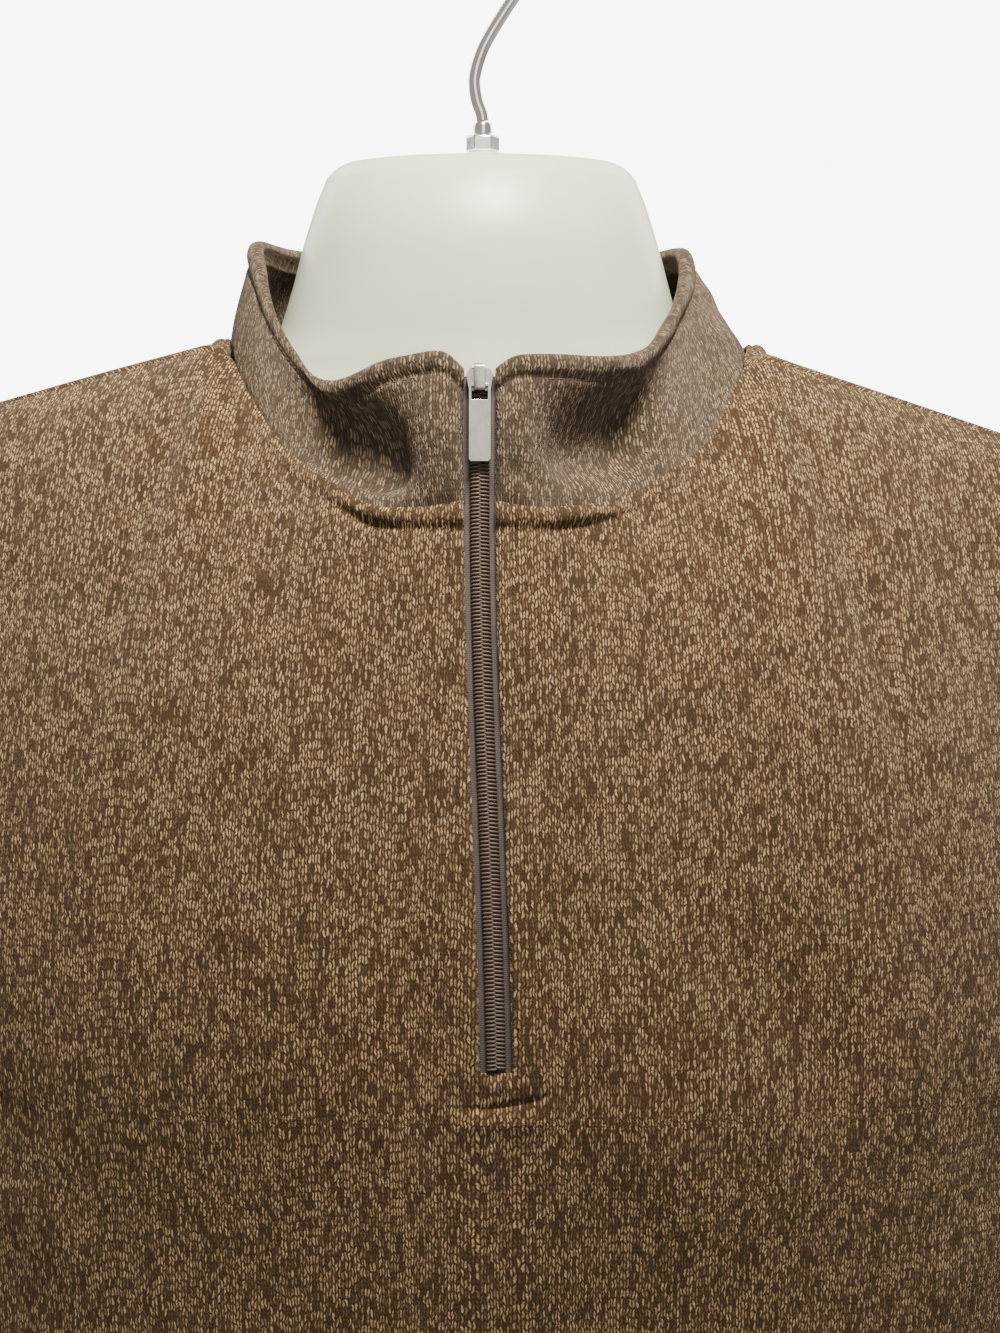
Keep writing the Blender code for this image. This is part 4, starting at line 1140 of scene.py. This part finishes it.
@dataclass
class Panel:
    """The front or the back of the body.

    Attributes:
        way: which way it faces.
        piece: the finished object.
        flat: its flat width, length and area.
        trims: its rows of stitches.
        slit_fade: the rows over which the slit's edges start.
        top_fade: the millimetres over which the soft waves start below the top edge.
        side_fade: the same beside the side seams.
    """

    way: Way
    piece: bpy.types.Object | None = None
    flat: tuple[float, float, float] = (0, 0, 0)
    trims: list = field(default_factory=list)
    slit_fade: float = 0.02
    top_fade: float = 30
    side_fade: float = 25

    def columns(self, fine: bool) -> np.ndarray:
        """Return the column keys, fine for the mesh and coarse for the flat pattern."""
        if fine:
            half = spans((0, 0.03, 12), (0.03, 0.12, 16), (0.12, 0.95, 52), (0.95, 1, 12))
        else:
            half = spans((0, 1, 14))
        if self.way is Way.BACK:
            return np.concatenate([-half[::-1], half[1:]])
        half = half + SPLIT_KEY
        between_edges = np.linspace(-SPLIT_KEY, SPLIT_KEY, 11)[1:-1] if fine else np.zeros(0)
        return np.concatenate([-half[::-1], between_edges, half])

    def rows(self, fine: bool) -> np.ndarray:
        """Return the row keys, fine for the mesh and coarse for the flat pattern."""
        if not fine:
            return np.sort(np.append(spans((0, 1, 12), (1, 2, 12)), 1 + SLIT_RISE))
        if self.way is Way.FRONT:
            rows = spans((0, 0.075, 16), (0.075, 0.94, 58), (0.94, 1.11, 60), (1.11, 1.92, 48), (1.92, 2, 32))
        else:
            rows = spans((0, 0.075, 16), (0.075, 1, 60), (1, 1.93, 54), (1.93, 2, 22))
        return np.sort(np.append(rows, 1 + SLIT_RISE))

    def relief(self, points: np.ndarray, pattern: np.ndarray, keys: np.ndarray,
               rows: np.ndarray) -> np.ndarray:
        """Return how far seams, edges and creases move each point outwards.

        Args:
            points: the panel's grid.
            pattern: the flat pattern's place of each point.
            keys: the column keys.
            rows: the row keys.

        Returns:
            The distance of each point in metres.
        """
        front = self.way is Way.FRONT
        share = np.maximum(np.abs(keys) - (SPLIT_KEY if front else 0), 0)
        up, across = walked(points, 0), walked(points, 1)
        u, v = pattern[..., 0], pattern[..., 1]
        from_top = (up[-1] - up) / MM
        from_side = np.minimum(across, across[:, -1:] - across) / MM
        uneven = 1 + waves(u, v, SEAM_WAVES)
        (past, end_share), (more, more_share), (less, start, less_share) = ROLL_END, ROLL_TALLER, ROLL_WEAKER
        neck = ease((NECK_SHARE + past - share) / end_share)[None, :]
        taller = (1 + more * np.exp(-(share / more_share) ** 2))[None, :]
        strength = (1 - less * ease((share - start) / less_share))[None, :] if front else ROLL_BEHIND
        lift = profile(NECK_ROLL, from_top / taller) * neck * strength * uneven
        lift += profile(PLAIN_SEAM, from_top) * (1 - neck)
        lift += profile(PLAIN_SEAM, from_side) * uneven
        lift += profile(HEM_EDGE, up / MM) * uneven
        if front:
            above = ease((rows - 1 - SLIT_RISE) / self.slit_fade + 1)[:, None]
            lift += profile(ZIP_EDGE, self.from_slit(across, keys) / MM) * above
        fade = ease(from_top / self.top_fade) * ease(from_side / self.side_fade)
        lift = lift + waves(u, v, PANEL_WAVES[self.way.value]) * fade
        return lift * MM + creased(pattern, FRONT_CREASES if front else BACK_CREASES)

    def from_slit(self, across: np.ndarray, keys: np.ndarray) -> np.ndarray:
        """Return how far each point lies beside the slit's nearer edge, below 0 between the edges."""
        left, right = self.edges(keys)
        return np.maximum(across[:, left:left + 1] - across, across - across[:, right:right + 1])

    def edges(self, keys: np.ndarray) -> tuple[int, int]:
        """Return the columns of the slit's two edges."""
        return tuple(int(np.argmin(np.abs(keys - side * SPLIT_KEY))) for side in (-1, 1))

    def build(self) -> None:
        """Build the panel's cloth with its seams, hem and creases."""
        front = self.way is Way.FRONT
        keys, rows = self.columns(True), self.rows(True)
        few_keys, few_rows = self.columns(False), self.rows(False)
        points = panel_points(self.way, keys, rows)
        coarse = panel_points(self.way, few_keys, few_rows)
        left, right = self.edges(keys) if front else (0, 0)
        few_middle = len(few_keys) // 2
        slit_row = int(np.argmin(np.abs(rows - 1 - SLIT_RISE)))
        few_pattern = flattened(coarse)
        if front:
            sides = ((slice(None, few_middle), slice(None, left + 1)),
                     (slice(few_middle, None), slice(right, None)))
            halves = [between(few_pattern[:, few], few_rows, few_keys[few], rows, keys[fine])
                      for few, fine in sides]
            part = ((keys[left + 1:right] + SPLIT_KEY) / (2 * SPLIT_KEY))[None, :, None]
            gap = halves[0][:, -1:] * (1 - part) + halves[1][:, :1] * part
            pattern = np.concatenate([halves[0], gap, halves[1]], axis=1)
        else:
            pattern = between(few_pattern, few_rows, few_keys, rows, keys)
        cut = (slit_row, left, right) if front else None
        points = points + shoulder_lift(points, rows)
        out = normals(points, 1 if front else -1)
        lift = self.relief(points, pattern, keys, rows)[..., None]
        outer = points + out * lift
        inner = points + out * (lift * INNER_SHARE - CLOTH)
        for grid in (outer, inner):
            grid[-1] += unit(grid[-2] - grid[-1]) * SEAM_DRAW
            grid[:, 0] += unit(grid[:, 1] - grid[:, 0]) * SEAM_DRAW
            grid[:, -1] += unit(grid[:, -2] - grid[:, -1]) * SEAM_DRAW
        name = self.way.name.lower()
        wall = cloth_wall(f"{name}_knit", outer, inner, pattern, cut)
        self.piece = finish_piece(wall, BODY_KNIT, BODY, name)
        self.flat = flat_size(pattern, points)
        heights = rows * (ARMPIT_Z - HEM_Z) / MM
        self.trims.append(hem_stitches(f"{name}_stitches", heights, outer, out))


@dataclass
class SleevePiece:
    """A set-in sleeve with a turned cuff.

    Attributes:
        hand: 1 for the left and -1 for the right.
        piece: the finished object.
        flat: its flat width, length and area.
        trims: its rows of stitches.
    """

    hand: int
    piece: bpy.types.Object | None = None
    flat: tuple[float, float, float] = (0, 0, 0)
    trims: list = field(default_factory=list)

    def build(self) -> None:
        """Build the sleeve's cloth with its seam, cuff and creases."""
        side = "left" if self.hand > 0 else "right"
        angles = np.linspace(0, 2 * math.pi, 105)
        rises = spans((0, 0.03, 6), (0.03, 1, 44))
        heights = spans((85, 118, 18), (118, 425, 62))
        points = sleeve_points(self.hand, angles, rises, heights)
        every_row = np.unique(np.append(np.arange(0, len(points), 6), len(points) - 1))
        every_column = np.arange(0, len(angles), 4)
        few_pattern = flattened(points[every_row][:, every_column])
        pattern = between(few_pattern, every_row, every_column, np.arange(len(points)),
                          np.arange(len(angles)))
        out = normals(points, self.hand)
        out[:, 0] = out[:, -1] = unit(out[:, 0] + out[:, -1])
        up, across = walked(points, 0), walked(points, 1)
        from_seam = np.minimum(across, across[:, -1:] - across) / MM
        lift = profile(PLAIN_SEAM, (up[-1] - up) / MM) * 0.6 + profile(PLAIN_SEAM, from_seam)
        lift += profile(HEM_EDGE, up / MM)
        fade = ease(from_seam / 20) * ease((up[-1] - up) / (40 * MM)) * ease((up / MM - 26) / 30)
        lift += waves(pattern[..., 0], pattern[..., 1], SLEEVE_WAVES[self.hand]) * fade
        lift = lift * MM + creased(pattern * np.array((self.hand, 1)), SLEEVE_CREASES) * fade
        outer = points + out * lift[..., None]
        inner = points + out * (lift * INNER_SHARE - CLOTH)[..., None]
        for grid in (outer, inner):
            grid[-1] += unit(grid[-2] - grid[-1]) * SEAM_DRAW
            grid[:, -1] = grid[:, 0]
        wall = cloth_wall(f"sleeve_{side}_knit", outer, inner, pattern, None, True)
        self.piece = finish_piece(wall, BODY_KNIT, BODY, f"sleeve_{side}")
        self.flat = flat_size(pattern, points)
        self.trims.append(hem_stitches(f"cuff_{side}_stitches", heights - heights[0], outer, out))


@dataclass
class Collar:
    """The stand collar, folded along its top edge and topstitched below the fold.

    Attributes:
        thick: its thickness between the seam and the stitching.
        edge_thick: its thickness at the fold.
        skin: the thickness of each of its two layers.
        tuck: how far its lower edge goes behind the body's.
        turned_by: how far the inner layer's loops stand off the outer layer's on the flat pattern.
        hollows: where the cloth sinks or stands out: hand, turn, width, depth, rise, reach below and above.
        end_column: how many columns in from the zip the row of stitches turns down.
        seam_sink: how far the seam sinks and over what distance, in millimetres.
        end_sink: the same at the ends beside the zip.
        piece: the finished object.
        flat: its flat width, length and area.
        trims: its rows of stitches.
    """

    thick: float = 4.2 * MM
    edge_thick: float = 5.4 * MM
    skin: float = 1.9 * MM
    tuck: float = 1.2 * MM
    turned_by: tuple[float, float] = (0.0137, 0.0031)
    hollows: tuple = ((-1, 30, 14, -11, 0.24, 0.12, 0.38), (-1, 33, 17, 5, 0.9, 0.25, 0.3),
                      (1, 29, 15, -11, 0.36, 0.2, 0.36), (1, 29, 18, 4.5, 0.9, 0.25, 0.3),
                      (-1, 7, 5, 1.5, 0.5, 0.4, 0.4), (1, 5, 4, 1.2, 0.5, 0.4, 0.4))
    end_column: int = 9
    seam_sink: tuple[float, float] = (0.3, 1.2)
    end_sink: tuple[float, float] = (0.8, 1.0)
    piece: bpy.types.Object | None = None
    flat: tuple[float, float, float] = (0, 0, 0)
    trims: list = field(default_factory=list)

    def build(self) -> None:
        """Build the double wall, its rolled edge and its row of stitches."""
        turns = spans((0, 4, 5), (4, 180, 92))
        hands = np.concatenate([-np.ones(len(turns)), np.ones(len(turns) - 1)])
        turns = np.concatenate([turns, turns[::-1][1:]])
        rises = spans((0, 0.16, 12), (0.16, 0.70, 14), (0.70, 0.97, 16))
        right, left = (collar_point(hand, turns[None, :] + 0 * rises[:, None], rises[:, None])
                       for hand in (-1, 1))
        grid = np.where((hands > 0)[None, :, None], left, right)
        out = -normals(grid, 1)
        up, along = walked(grid, 0), walked(grid, 1)
        from_top = (up[-1:] + 2 * MM - up) / MM
        ends = np.minimum(along, along[:, -1:] - along) / MM
        (seam_sink, seam_reach), (end_sink, end_reach) = self.seam_sink, self.end_sink
        lift = profile(COLLAR_EDGE, from_top) - np.exp(-(up / MM / seam_reach) ** 2) * seam_sink
        lift += waves(along, up, COLLAR_WAVES) * ease(ends / 10)
        sunk = np.zeros(up.shape)
        for hand, turn, width, depth, rise, below, over in self.hollows:
            beside = (turns[None, :] - turn) / width
            above = (rises[:, None] - rise) / np.where(rises < rise, below, over)[:, None]
            sunk += depth * MM * np.exp(-np.abs(beside) ** 5 - above ** 2) * (hands[None, :] == hand)
        lift -= np.exp(-(ends / end_reach) ** 2) * end_sink
        lift += profile(ZIP_EDGE, ends) * 0.7 * ease((from_top - 9) / 3)
        lift *= MM
        middle_row = along[len(rises) // 2]
        pattern = np.stack([(middle_row - middle_row[len(turns) // 2])[None, :] + 0 * up, up], -1)
        thickness = self.thick + (self.edge_thick - self.thick) * ease((14 - from_top) / 10)
        outer = grid + out * (sunk + lift)[..., None]
        inner = grid + out * (sunk + lift * 0.5 - thickness)[..., None]
        for face in (outer, inner):
            face[0] += unit(face[0] - face[2]) * self.tuck
        side = unit(outer - inner)
        up_way = unit(outer[-1] - outer[-3])
        centre = (outer[-1] + inner[-1]) / 2
        radius = np.linalg.norm(outer[-1] - inner[-1], axis=-1, keepdims=True) / 2
        arc = np.linspace(0, math.pi, 9)[1:-1, None, None]
        turned = side[-1] * np.cos(arc) + up_way * np.sin(arc)
        outside = np.concatenate([outer, centre + turned * radius, inner[::-1]])
        inside = np.concatenate([outer - side * self.skin, centre + turned * (radius - self.skin),
                                 (inner + side * self.skin)[::-1]])
        folded = pattern[-1][None] + np.array((0, 1)) * (np.arange(1, 8) * 1.0 * MM)[:, None, None]
        places = np.concatenate([pattern, folded, pattern[::-1] + np.array(self.turned_by)])
        self.piece = finish_piece(self.wall(outside, inside, places), COLLAR_KNIT, BODY, "collar")
        middle = (outside + inside) / 2
        length = float(middle_row[-1])
        tall = float(walked(middle, 0)[-1].mean())
        self.flat = (length, tall, length * tall)
        row = int(np.argmin(np.abs(from_top[:, 0] - COLLAR_STITCHES)))
        first, last = self.end_column, len(turns) - 1 - self.end_column
        paths = [(row, slice(first, last + 1)), (slice(1, row), first), (slice(1, row), last)]
        self.trims.append(sewn("collar_stitches", [StitchRow(outer[path], out[path]) for path in paths]))

    def wall(self, outside: np.ndarray, inside: np.ndarray, places: np.ndarray) -> bpy.types.Object:
        """Return the folded strip, closed round its edges.

        Args:
            outside: its outer side, from the seam over the fold and down again.
            inside: the side that is folded in.
            places: the flat pattern's place of each point.

        Returns:
            The strip.
        """
        rows, columns = outside.shape[:2]
        section = np.concatenate([outside, inside[::-1]])
        index = np.arange(2 * rows * columns).reshape(2 * rows, columns)
        after = np.roll(index, -1, axis=0)
        cells = np.stack([index[:, :-1], index[:, 1:], after[:, 1:], after[:, :-1]], axis=-1).reshape(-1, 4)
        other = index[::-1]
        ends = [np.stack([index[:-1, column], index[1:, column], other[1:, column], other[:-1, column]],
                         -1)[:rows - 1] for column in (0, columns - 1)]
        faces = [tuple(face) for face in np.concatenate([cells, *ends]).tolist()]
        both = np.concatenate([places, places[::-1]])
        return add_mesh("collar_knit", section.reshape(-1, 3), faces, 70, both.reshape(-1, 2))


@dataclass
class Zip:
    """The tapes, the coil, the slider and the pull tab.

    Attributes:
        pitch: the distance between two coils.
        front_steps: how many points its path has below the neck seam.
        tape_gap: how far each tape starts from the middle, in millimetres.
        pieces: the finished objects.
    """

    pitch: float = 1.3 * MM
    front_steps: int = 120
    tape_gap: float = 0.2
    pieces: list = field(default_factory=list)

    def path(self, first: float, last: float) -> tuple[np.ndarray, np.ndarray, np.ndarray]:
        """Return the zip's middle line as points, outward normals and lengths walked.

        Args:
            first: where it starts on the front, as a rise above the armpits.
            last: where it ends on the collar, as a rise above the neck seam.
        """
        rises = np.linspace(first, 1, self.front_steps)
        tops = np.linspace(0, last, 40)[1:]
        low = sum(yoke_point(Way.FRONT, hand, 0 * rises, rises) for hand in (1, -1)) / 2
        high = sum(collar_point(hand, 0 * tops, tops) for hand in (1, -1)) / 2
        points = np.concatenate([low, high])
        steps = np.gradient(points, axis=0)
        kernel = np.ones(9) / 9
        padded = np.pad(steps, ((4, 4), (0, 0)), mode="edge")
        steps = np.stack([np.convolve(padded[:, axis], kernel, mode="valid") for axis in range(3)], -1)
        out = unit(np.stack([0 * steps[:, 0], -steps[:, 2], steps[:, 1]], -1))
        return points, out, run_length(points)

    def build(self) -> None:
        """Build every piece of the zip."""
        self.build_tapes()
        self.build_coil()
        self.build_slider()

    def build_tapes(self) -> None:
        """Build the two tapes behind the coil, narrower above the neck seam."""
        points, out, length = self.path(0.05, 0.98)
        wide = np.where(length < length[self.front_steps - 1] - 2 * MM, 9.5, 6.5)[:, None]
        for hand, name in ((1, "zip_tape_left"), (-1, "zip_tape_right")):
            loops = []
            for share, depth in ((0, -2.9), (0.6, -2.9), (1, -3.0), (1, -3.6), (0, -3.6)):
                across = hand * (self.tape_gap + (wide - self.tape_gap) * share) * MM
                loops.append(points + np.array((1, 0, 0)) * across + out * depth * MM)
            piece = loft(f"{name}_weave", np.stack(loops, axis=1))
            self.pieces.append(finish_piece(piece, TAPE, BODY, name))

    def build_coil(self) -> None:
        """Build the coil's loops, one side half a pitch above the other, over a dark core."""
        points, out, length = self.path(0.094, 0.84)
        starts = np.arange(0.4 * self.pitch, length[-1], self.pitch)
        along = unit(np.gradient(points, axis=0))
        # across, up, out and thickness of one loop from its head to its heel
        loop = np.array(((-0.35, 0.10, -0.95, 0.30), (0.15, 0.06, -0.78, 0.46), (0.9, 0.0, -0.72, 0.42),
                         (1.9, -0.05, -0.80, 0.38), (2.6, -0.12, -1.05, 0.38), (3.0, -0.30, -1.6, 0.36),
                         (3.0, -0.45, -2.2, 0.30)))
        turns = (np.arange(7) * 2 * math.pi / 7)[:, None]
        tubes = []
        for hand in (1, -1):
            for start in starts + (self.pitch / 2 if hand > 0 else 0):
                if start > length[-1]:
                    continue
                base, normal, up = (read_line(start, length, values) for values in (points, out, along))
                side = np.array((float(hand), 0, 0))
                spine = base + (side * loop[:, :1] + up * loop[:, 1:2] + normal * loop[:, 2:3]) * MM
                ways = unit(np.gradient(spine, axis=0))
                cross = unit(np.cross(ways, up + 1e-6))
                other = np.cross(ways, cross)
                ring = cross[:, None] * np.cos(turns) + other[:, None] * np.sin(turns)
                tubes.append(spine[:, None] + ring * loop[:, 3][:, None, None] * MM)
        piece = tubes_mesh("zip_coil_loops", np.stack(tubes))
        self.pieces.append(finish_piece(piece, COIL, BODY, "zip_chain"))
        core = [points + np.array((1, 0, 0)) * across * MM + out * depth * MM
                for across, depth in ((-2.7, -1.5), (2.7, -1.5), (2.7, -2.7), (-2.7, -2.7))]
        self.pieces.append(finish_piece(loft("zip_core", np.stack(core, axis=1)), TAPE, BODY))

    def build_slider(self) -> None:
        """Give the slider and the pull tab their metal and their rounded edges."""
        for node, body in (("zip_slider", BODY), ("pull_tab", TAB_BODY)):
            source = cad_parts[node]
            mesh = source.data.copy()
            build = bmesh.new()
            build.from_mesh(mesh)
            bmesh.ops.remove_doubles(build, verts=build.verts, dist=0.02 * MM)
            bmesh.ops.dissolve_limit(build, angle_limit=math.radians(3), verts=build.verts, edges=build.edges)
            build.to_mesh(mesh)
            build.free()
            piece = link(f"{node}_metal", mesh)
            bevel = round_edges(piece, 0.28 * MM, 3)
            bevel.limit_method = "ANGLE"
            bevel.angle_limit = math.radians(25)
            mesh.shade_smooth()
            mesh.set_sharp_from_angle(angle=math.radians(50))
            self.pieces.append(finish_piece(piece, SATIN, body, node))


@dataclass
class TorsoForm:
    """The limbless form with its hook.

    Attributes:
        columns: how many points a ring has.
        pieces: the finished objects.
    """

    columns: int = 144
    pieces: list = field(default_factory=list)

    def build(self) -> None:
        """Build the form's skin and its hook."""
        self.build_skin()
        self.build_hook()

    def build_skin(self) -> None:
        """Build the moulded skin with rounded edges at its base and its neck."""
        heights = spans((0, 7, 6), (7, 690, 70), (690, 760, 40), (760, 805, 18), (805, 816.5, 22))
        table = Curve(FORM_ROWS).at(heights)
        angles = np.arange(self.columns) * 2 * math.pi / self.columns
        sine, cosine = np.sin(angles), np.cos(angles)
        loops = []
        for z, (width, front, back, power, shift) in zip(heights, table):
            wide = np.sign(sine) * np.abs(sine) ** power
            deep = np.sign(cosine) * np.abs(cosine) ** power
            depth = np.where(cosine > 0, front, back)
            loops.append(np.stack([width * wide + shift, -depth * deep, z + 0 * wide], -1) * MM)
        for share, rise in ((0.8, 0.35), (0.55, 0.6), (0.3, 0.75), (0.12, 0.8)):
            top = loops[len(heights) - 1]
            centre = np.array((HOOK_X, 0, top[0, 2]))
            ring = centre + (top - centre) * share
            ring[:, 2] += rise * MM
            loops.append(ring)
        piece = loft("form_skin", np.stack(loops), 40)
        boss = rings_about_hook(((8, 816.8), (8.2, 818.4), (7.6, 819.4), (6.6, 819.8)), angles)
        self.pieces.append(finish_piece(piece, WAXY, BODY, "torso_form"))
        self.pieces.append(finish_piece(loft("form_boss", boss, 40), WAXY, BODY))

    def build_hook(self) -> None:
        """Build the nut, the ring and the bent wire."""
        nut = rings_about_hook(((5.4, 820.1), (6.1, 820.8), (6.1, 825.6), (5.4, 826.2)),
                               (np.arange(6) + 0.5) * math.pi / 3)
        piece = loft("hook_nut_metal", nut, 25)
        round_edges(piece, 0.25 * MM, 2)
        self.pieces.append(finish_piece(piece, CHROME, BODY, "hook_nut"))
        ring = rings_about_hook(((2.9, 826.6), (3.35, 827.0), (3.4, 828.2), (3.4, 829.4), (3.2, 830.4),
                                 (2.7, 830.9)), np.arange(40) * math.pi / 20)
        self.pieces.append(finish_piece(loft("hook_ring_metal", ring, 40), CHROME, BODY, "hook_ring"))
        stem = Curve(STEM_ROWS).at(np.linspace(0, 7, 43)) * MM
        angles = np.linspace(HOOK_START, HOOK_END, 60)
        arc = HOOK_CENTRE + HOOK_RADIUS * np.stack([np.cos(angles), np.sin(angles)], -1)
        route = np.concatenate([stem, arc])
        curve = bpy.data.curves.new("hook_wire_metal", "CURVE")
        curve.dimensions = "3D"
        curve.bevel_depth = WIRE_RADIUS
        curve.bevel_resolution = 7
        curve.use_fill_caps = True
        spline = curve.splines.new("POLY")
        spline.points.add(len(route) - 1)
        for point, (x, z) in zip(spline.points, route):
            point.co = (x, 0, z, 1)
        spline.use_smooth = True
        self.pieces.append(finish_piece(link("hook_wire_metal", curve), CHROME, BODY, "hook_wire"))


@dataclass
class Studio:
    """The floor, the lights and the camera.

    Attributes:
        eye: the camera's place.
        pitch: how far it looks down, in degrees.
        view: its angle across, in degrees.
        ambient: the sky's strength.
        backdrop: the strength of the plain white behind the part.
        cone: the key light's angle in degrees.
        floor_half: half the floor's side in metres.
    """

    eye: tuple[float, float, float] = (0.0045, -1.045, 0.696)
    pitch: float = 3.5
    view: float = 20.0
    ambient: float = 0.36
    backdrop: float = 8.0
    cone: float = 43.0
    floor_half: float = 6.0

    def build(self) -> None:
        """Build the studio."""
        self.build_floor()
        self.build_lights()
        self.build_camera()

    def build_floor(self) -> None:
        """Lay a pale floor."""
        corners = self.floor_half * np.array(((-1, -1, 0), (1, -1, 0), (1, 1, 0), (-1, 1, 0)))
        floor = add_mesh("floor", corners, [(0, 1, 2, 3)])
        floor.location.z = -0.0002
        g = Graph("floor_paint")
        tone = g.mix(g.noise(g.place(), 2.0, 3), (0.80, 0.80, 0.79), (0.86, 0.86, 0.85))
        g.set(Base_Color=tone, Roughness=0.7)
        floor.data.materials.append(g.material)

    def build_lights(self) -> None:
        """Hang a key light high in front, a weak fill and two lights behind, under a pale sky.

        The camera sees plain white behind the part instead of the sky.
        """
        world = bpy.data.worlds.new("studio_sky")
        bpy.context.scene.world = world
        world.use_nodes = True
        tree = world.node_tree
        sky = tree.nodes["Background"]
        backdrop = tree.nodes.new("ShaderNodeBackground")
        mixed = tree.nodes.new("ShaderNodeMixShader")
        rays = tree.nodes.new("ShaderNodeLightPath")
        sky.inputs["Color"].default_value = (1, 0.985, 0.96, 1)
        sky.inputs["Strength"].default_value = self.ambient
        backdrop.inputs["Color"].default_value = (1, 1, 1, 1)
        backdrop.inputs["Strength"].default_value = self.backdrop
        tree.links.new(rays.outputs["Is Camera Ray"], mixed.inputs["Fac"])
        tree.links.new(sky.outputs["Background"], mixed.inputs[1])
        tree.links.new(backdrop.outputs["Background"], mixed.inputs[2])
        tree.links.new(mixed.outputs["Shader"], tree.nodes["World Output"].inputs["Surface"])
        # name, kind, place, aim, size, power, colour
        lamps = (
            ("key", "SPOT", (0.12, -0.62, 1.85), (0.02, 0, 0.84), 0.2, 275, (1, 0.95, 0.87)),
            ("front_fill", "AREA", (0.3, -1.9, 1.3), (0, 0, 0.7), 1.2, 7, (1, 0.96, 0.91)),
            ("rear_left", "AREA", (1.5, 1.7, 1.7), (0, 0, 0.6), 1.4, 26, (1, 0.97, 0.93)),
            ("rear_right", "AREA", (-1.5, 1.7, 1.7), (0, 0, 0.6), 1.4, 26, (1, 0.97, 0.93)),
        )
        for name, kind, place, aim, size, power, colour in lamps:
            lamp = bpy.data.lights.new(name, kind)
            lamp.energy = power
            lamp.color = colour
            if kind == "SPOT":
                lamp.spot_size = math.radians(self.cone)
                lamp.spot_blend = 1.0
                lamp.shadow_soft_size = size
            else:
                lamp.shape = "SQUARE"
                lamp.size = size
            made = link(name, lamp)
            made.location = place
            made.visible_camera = False
            made.rotation_euler = (Vector(aim) - Vector(place)).to_track_quat("-Z", "Y").to_euler()

    def build_camera(self) -> None:
        """Set the camera up at the photograph's place."""
        camera = bpy.data.cameras.new("camera")
        camera.sensor_fit = "HORIZONTAL"
        camera.angle = math.radians(self.view)
        camera.dof.use_dof = False
        made = link("camera", camera)
        made.location = self.eye
        made.rotation_euler = (math.radians(90 - self.pitch), 0, 0)
        bpy.context.scene.camera = made


def main() -> None:
    """Build the sweater, its form and the studio in order."""
    for part in (Panel(Way.FRONT), Panel(Way.BACK), SleevePiece(1), SleevePiece(-1), Collar()):
        part.build()
        LOG.info("%s: flat %.3f x %.3f m, %.3f m2", part.piece.name, *part.flat)
    fastener = Zip()
    fastener.build()
    LOG.info("zip: %d pieces", len(fastener.pieces))
    form = TorsoForm()
    form.build()
    LOG.info("form: %d pieces", len(form.pieces))
    Studio().build()


if __name__ == "__main__":
    main()
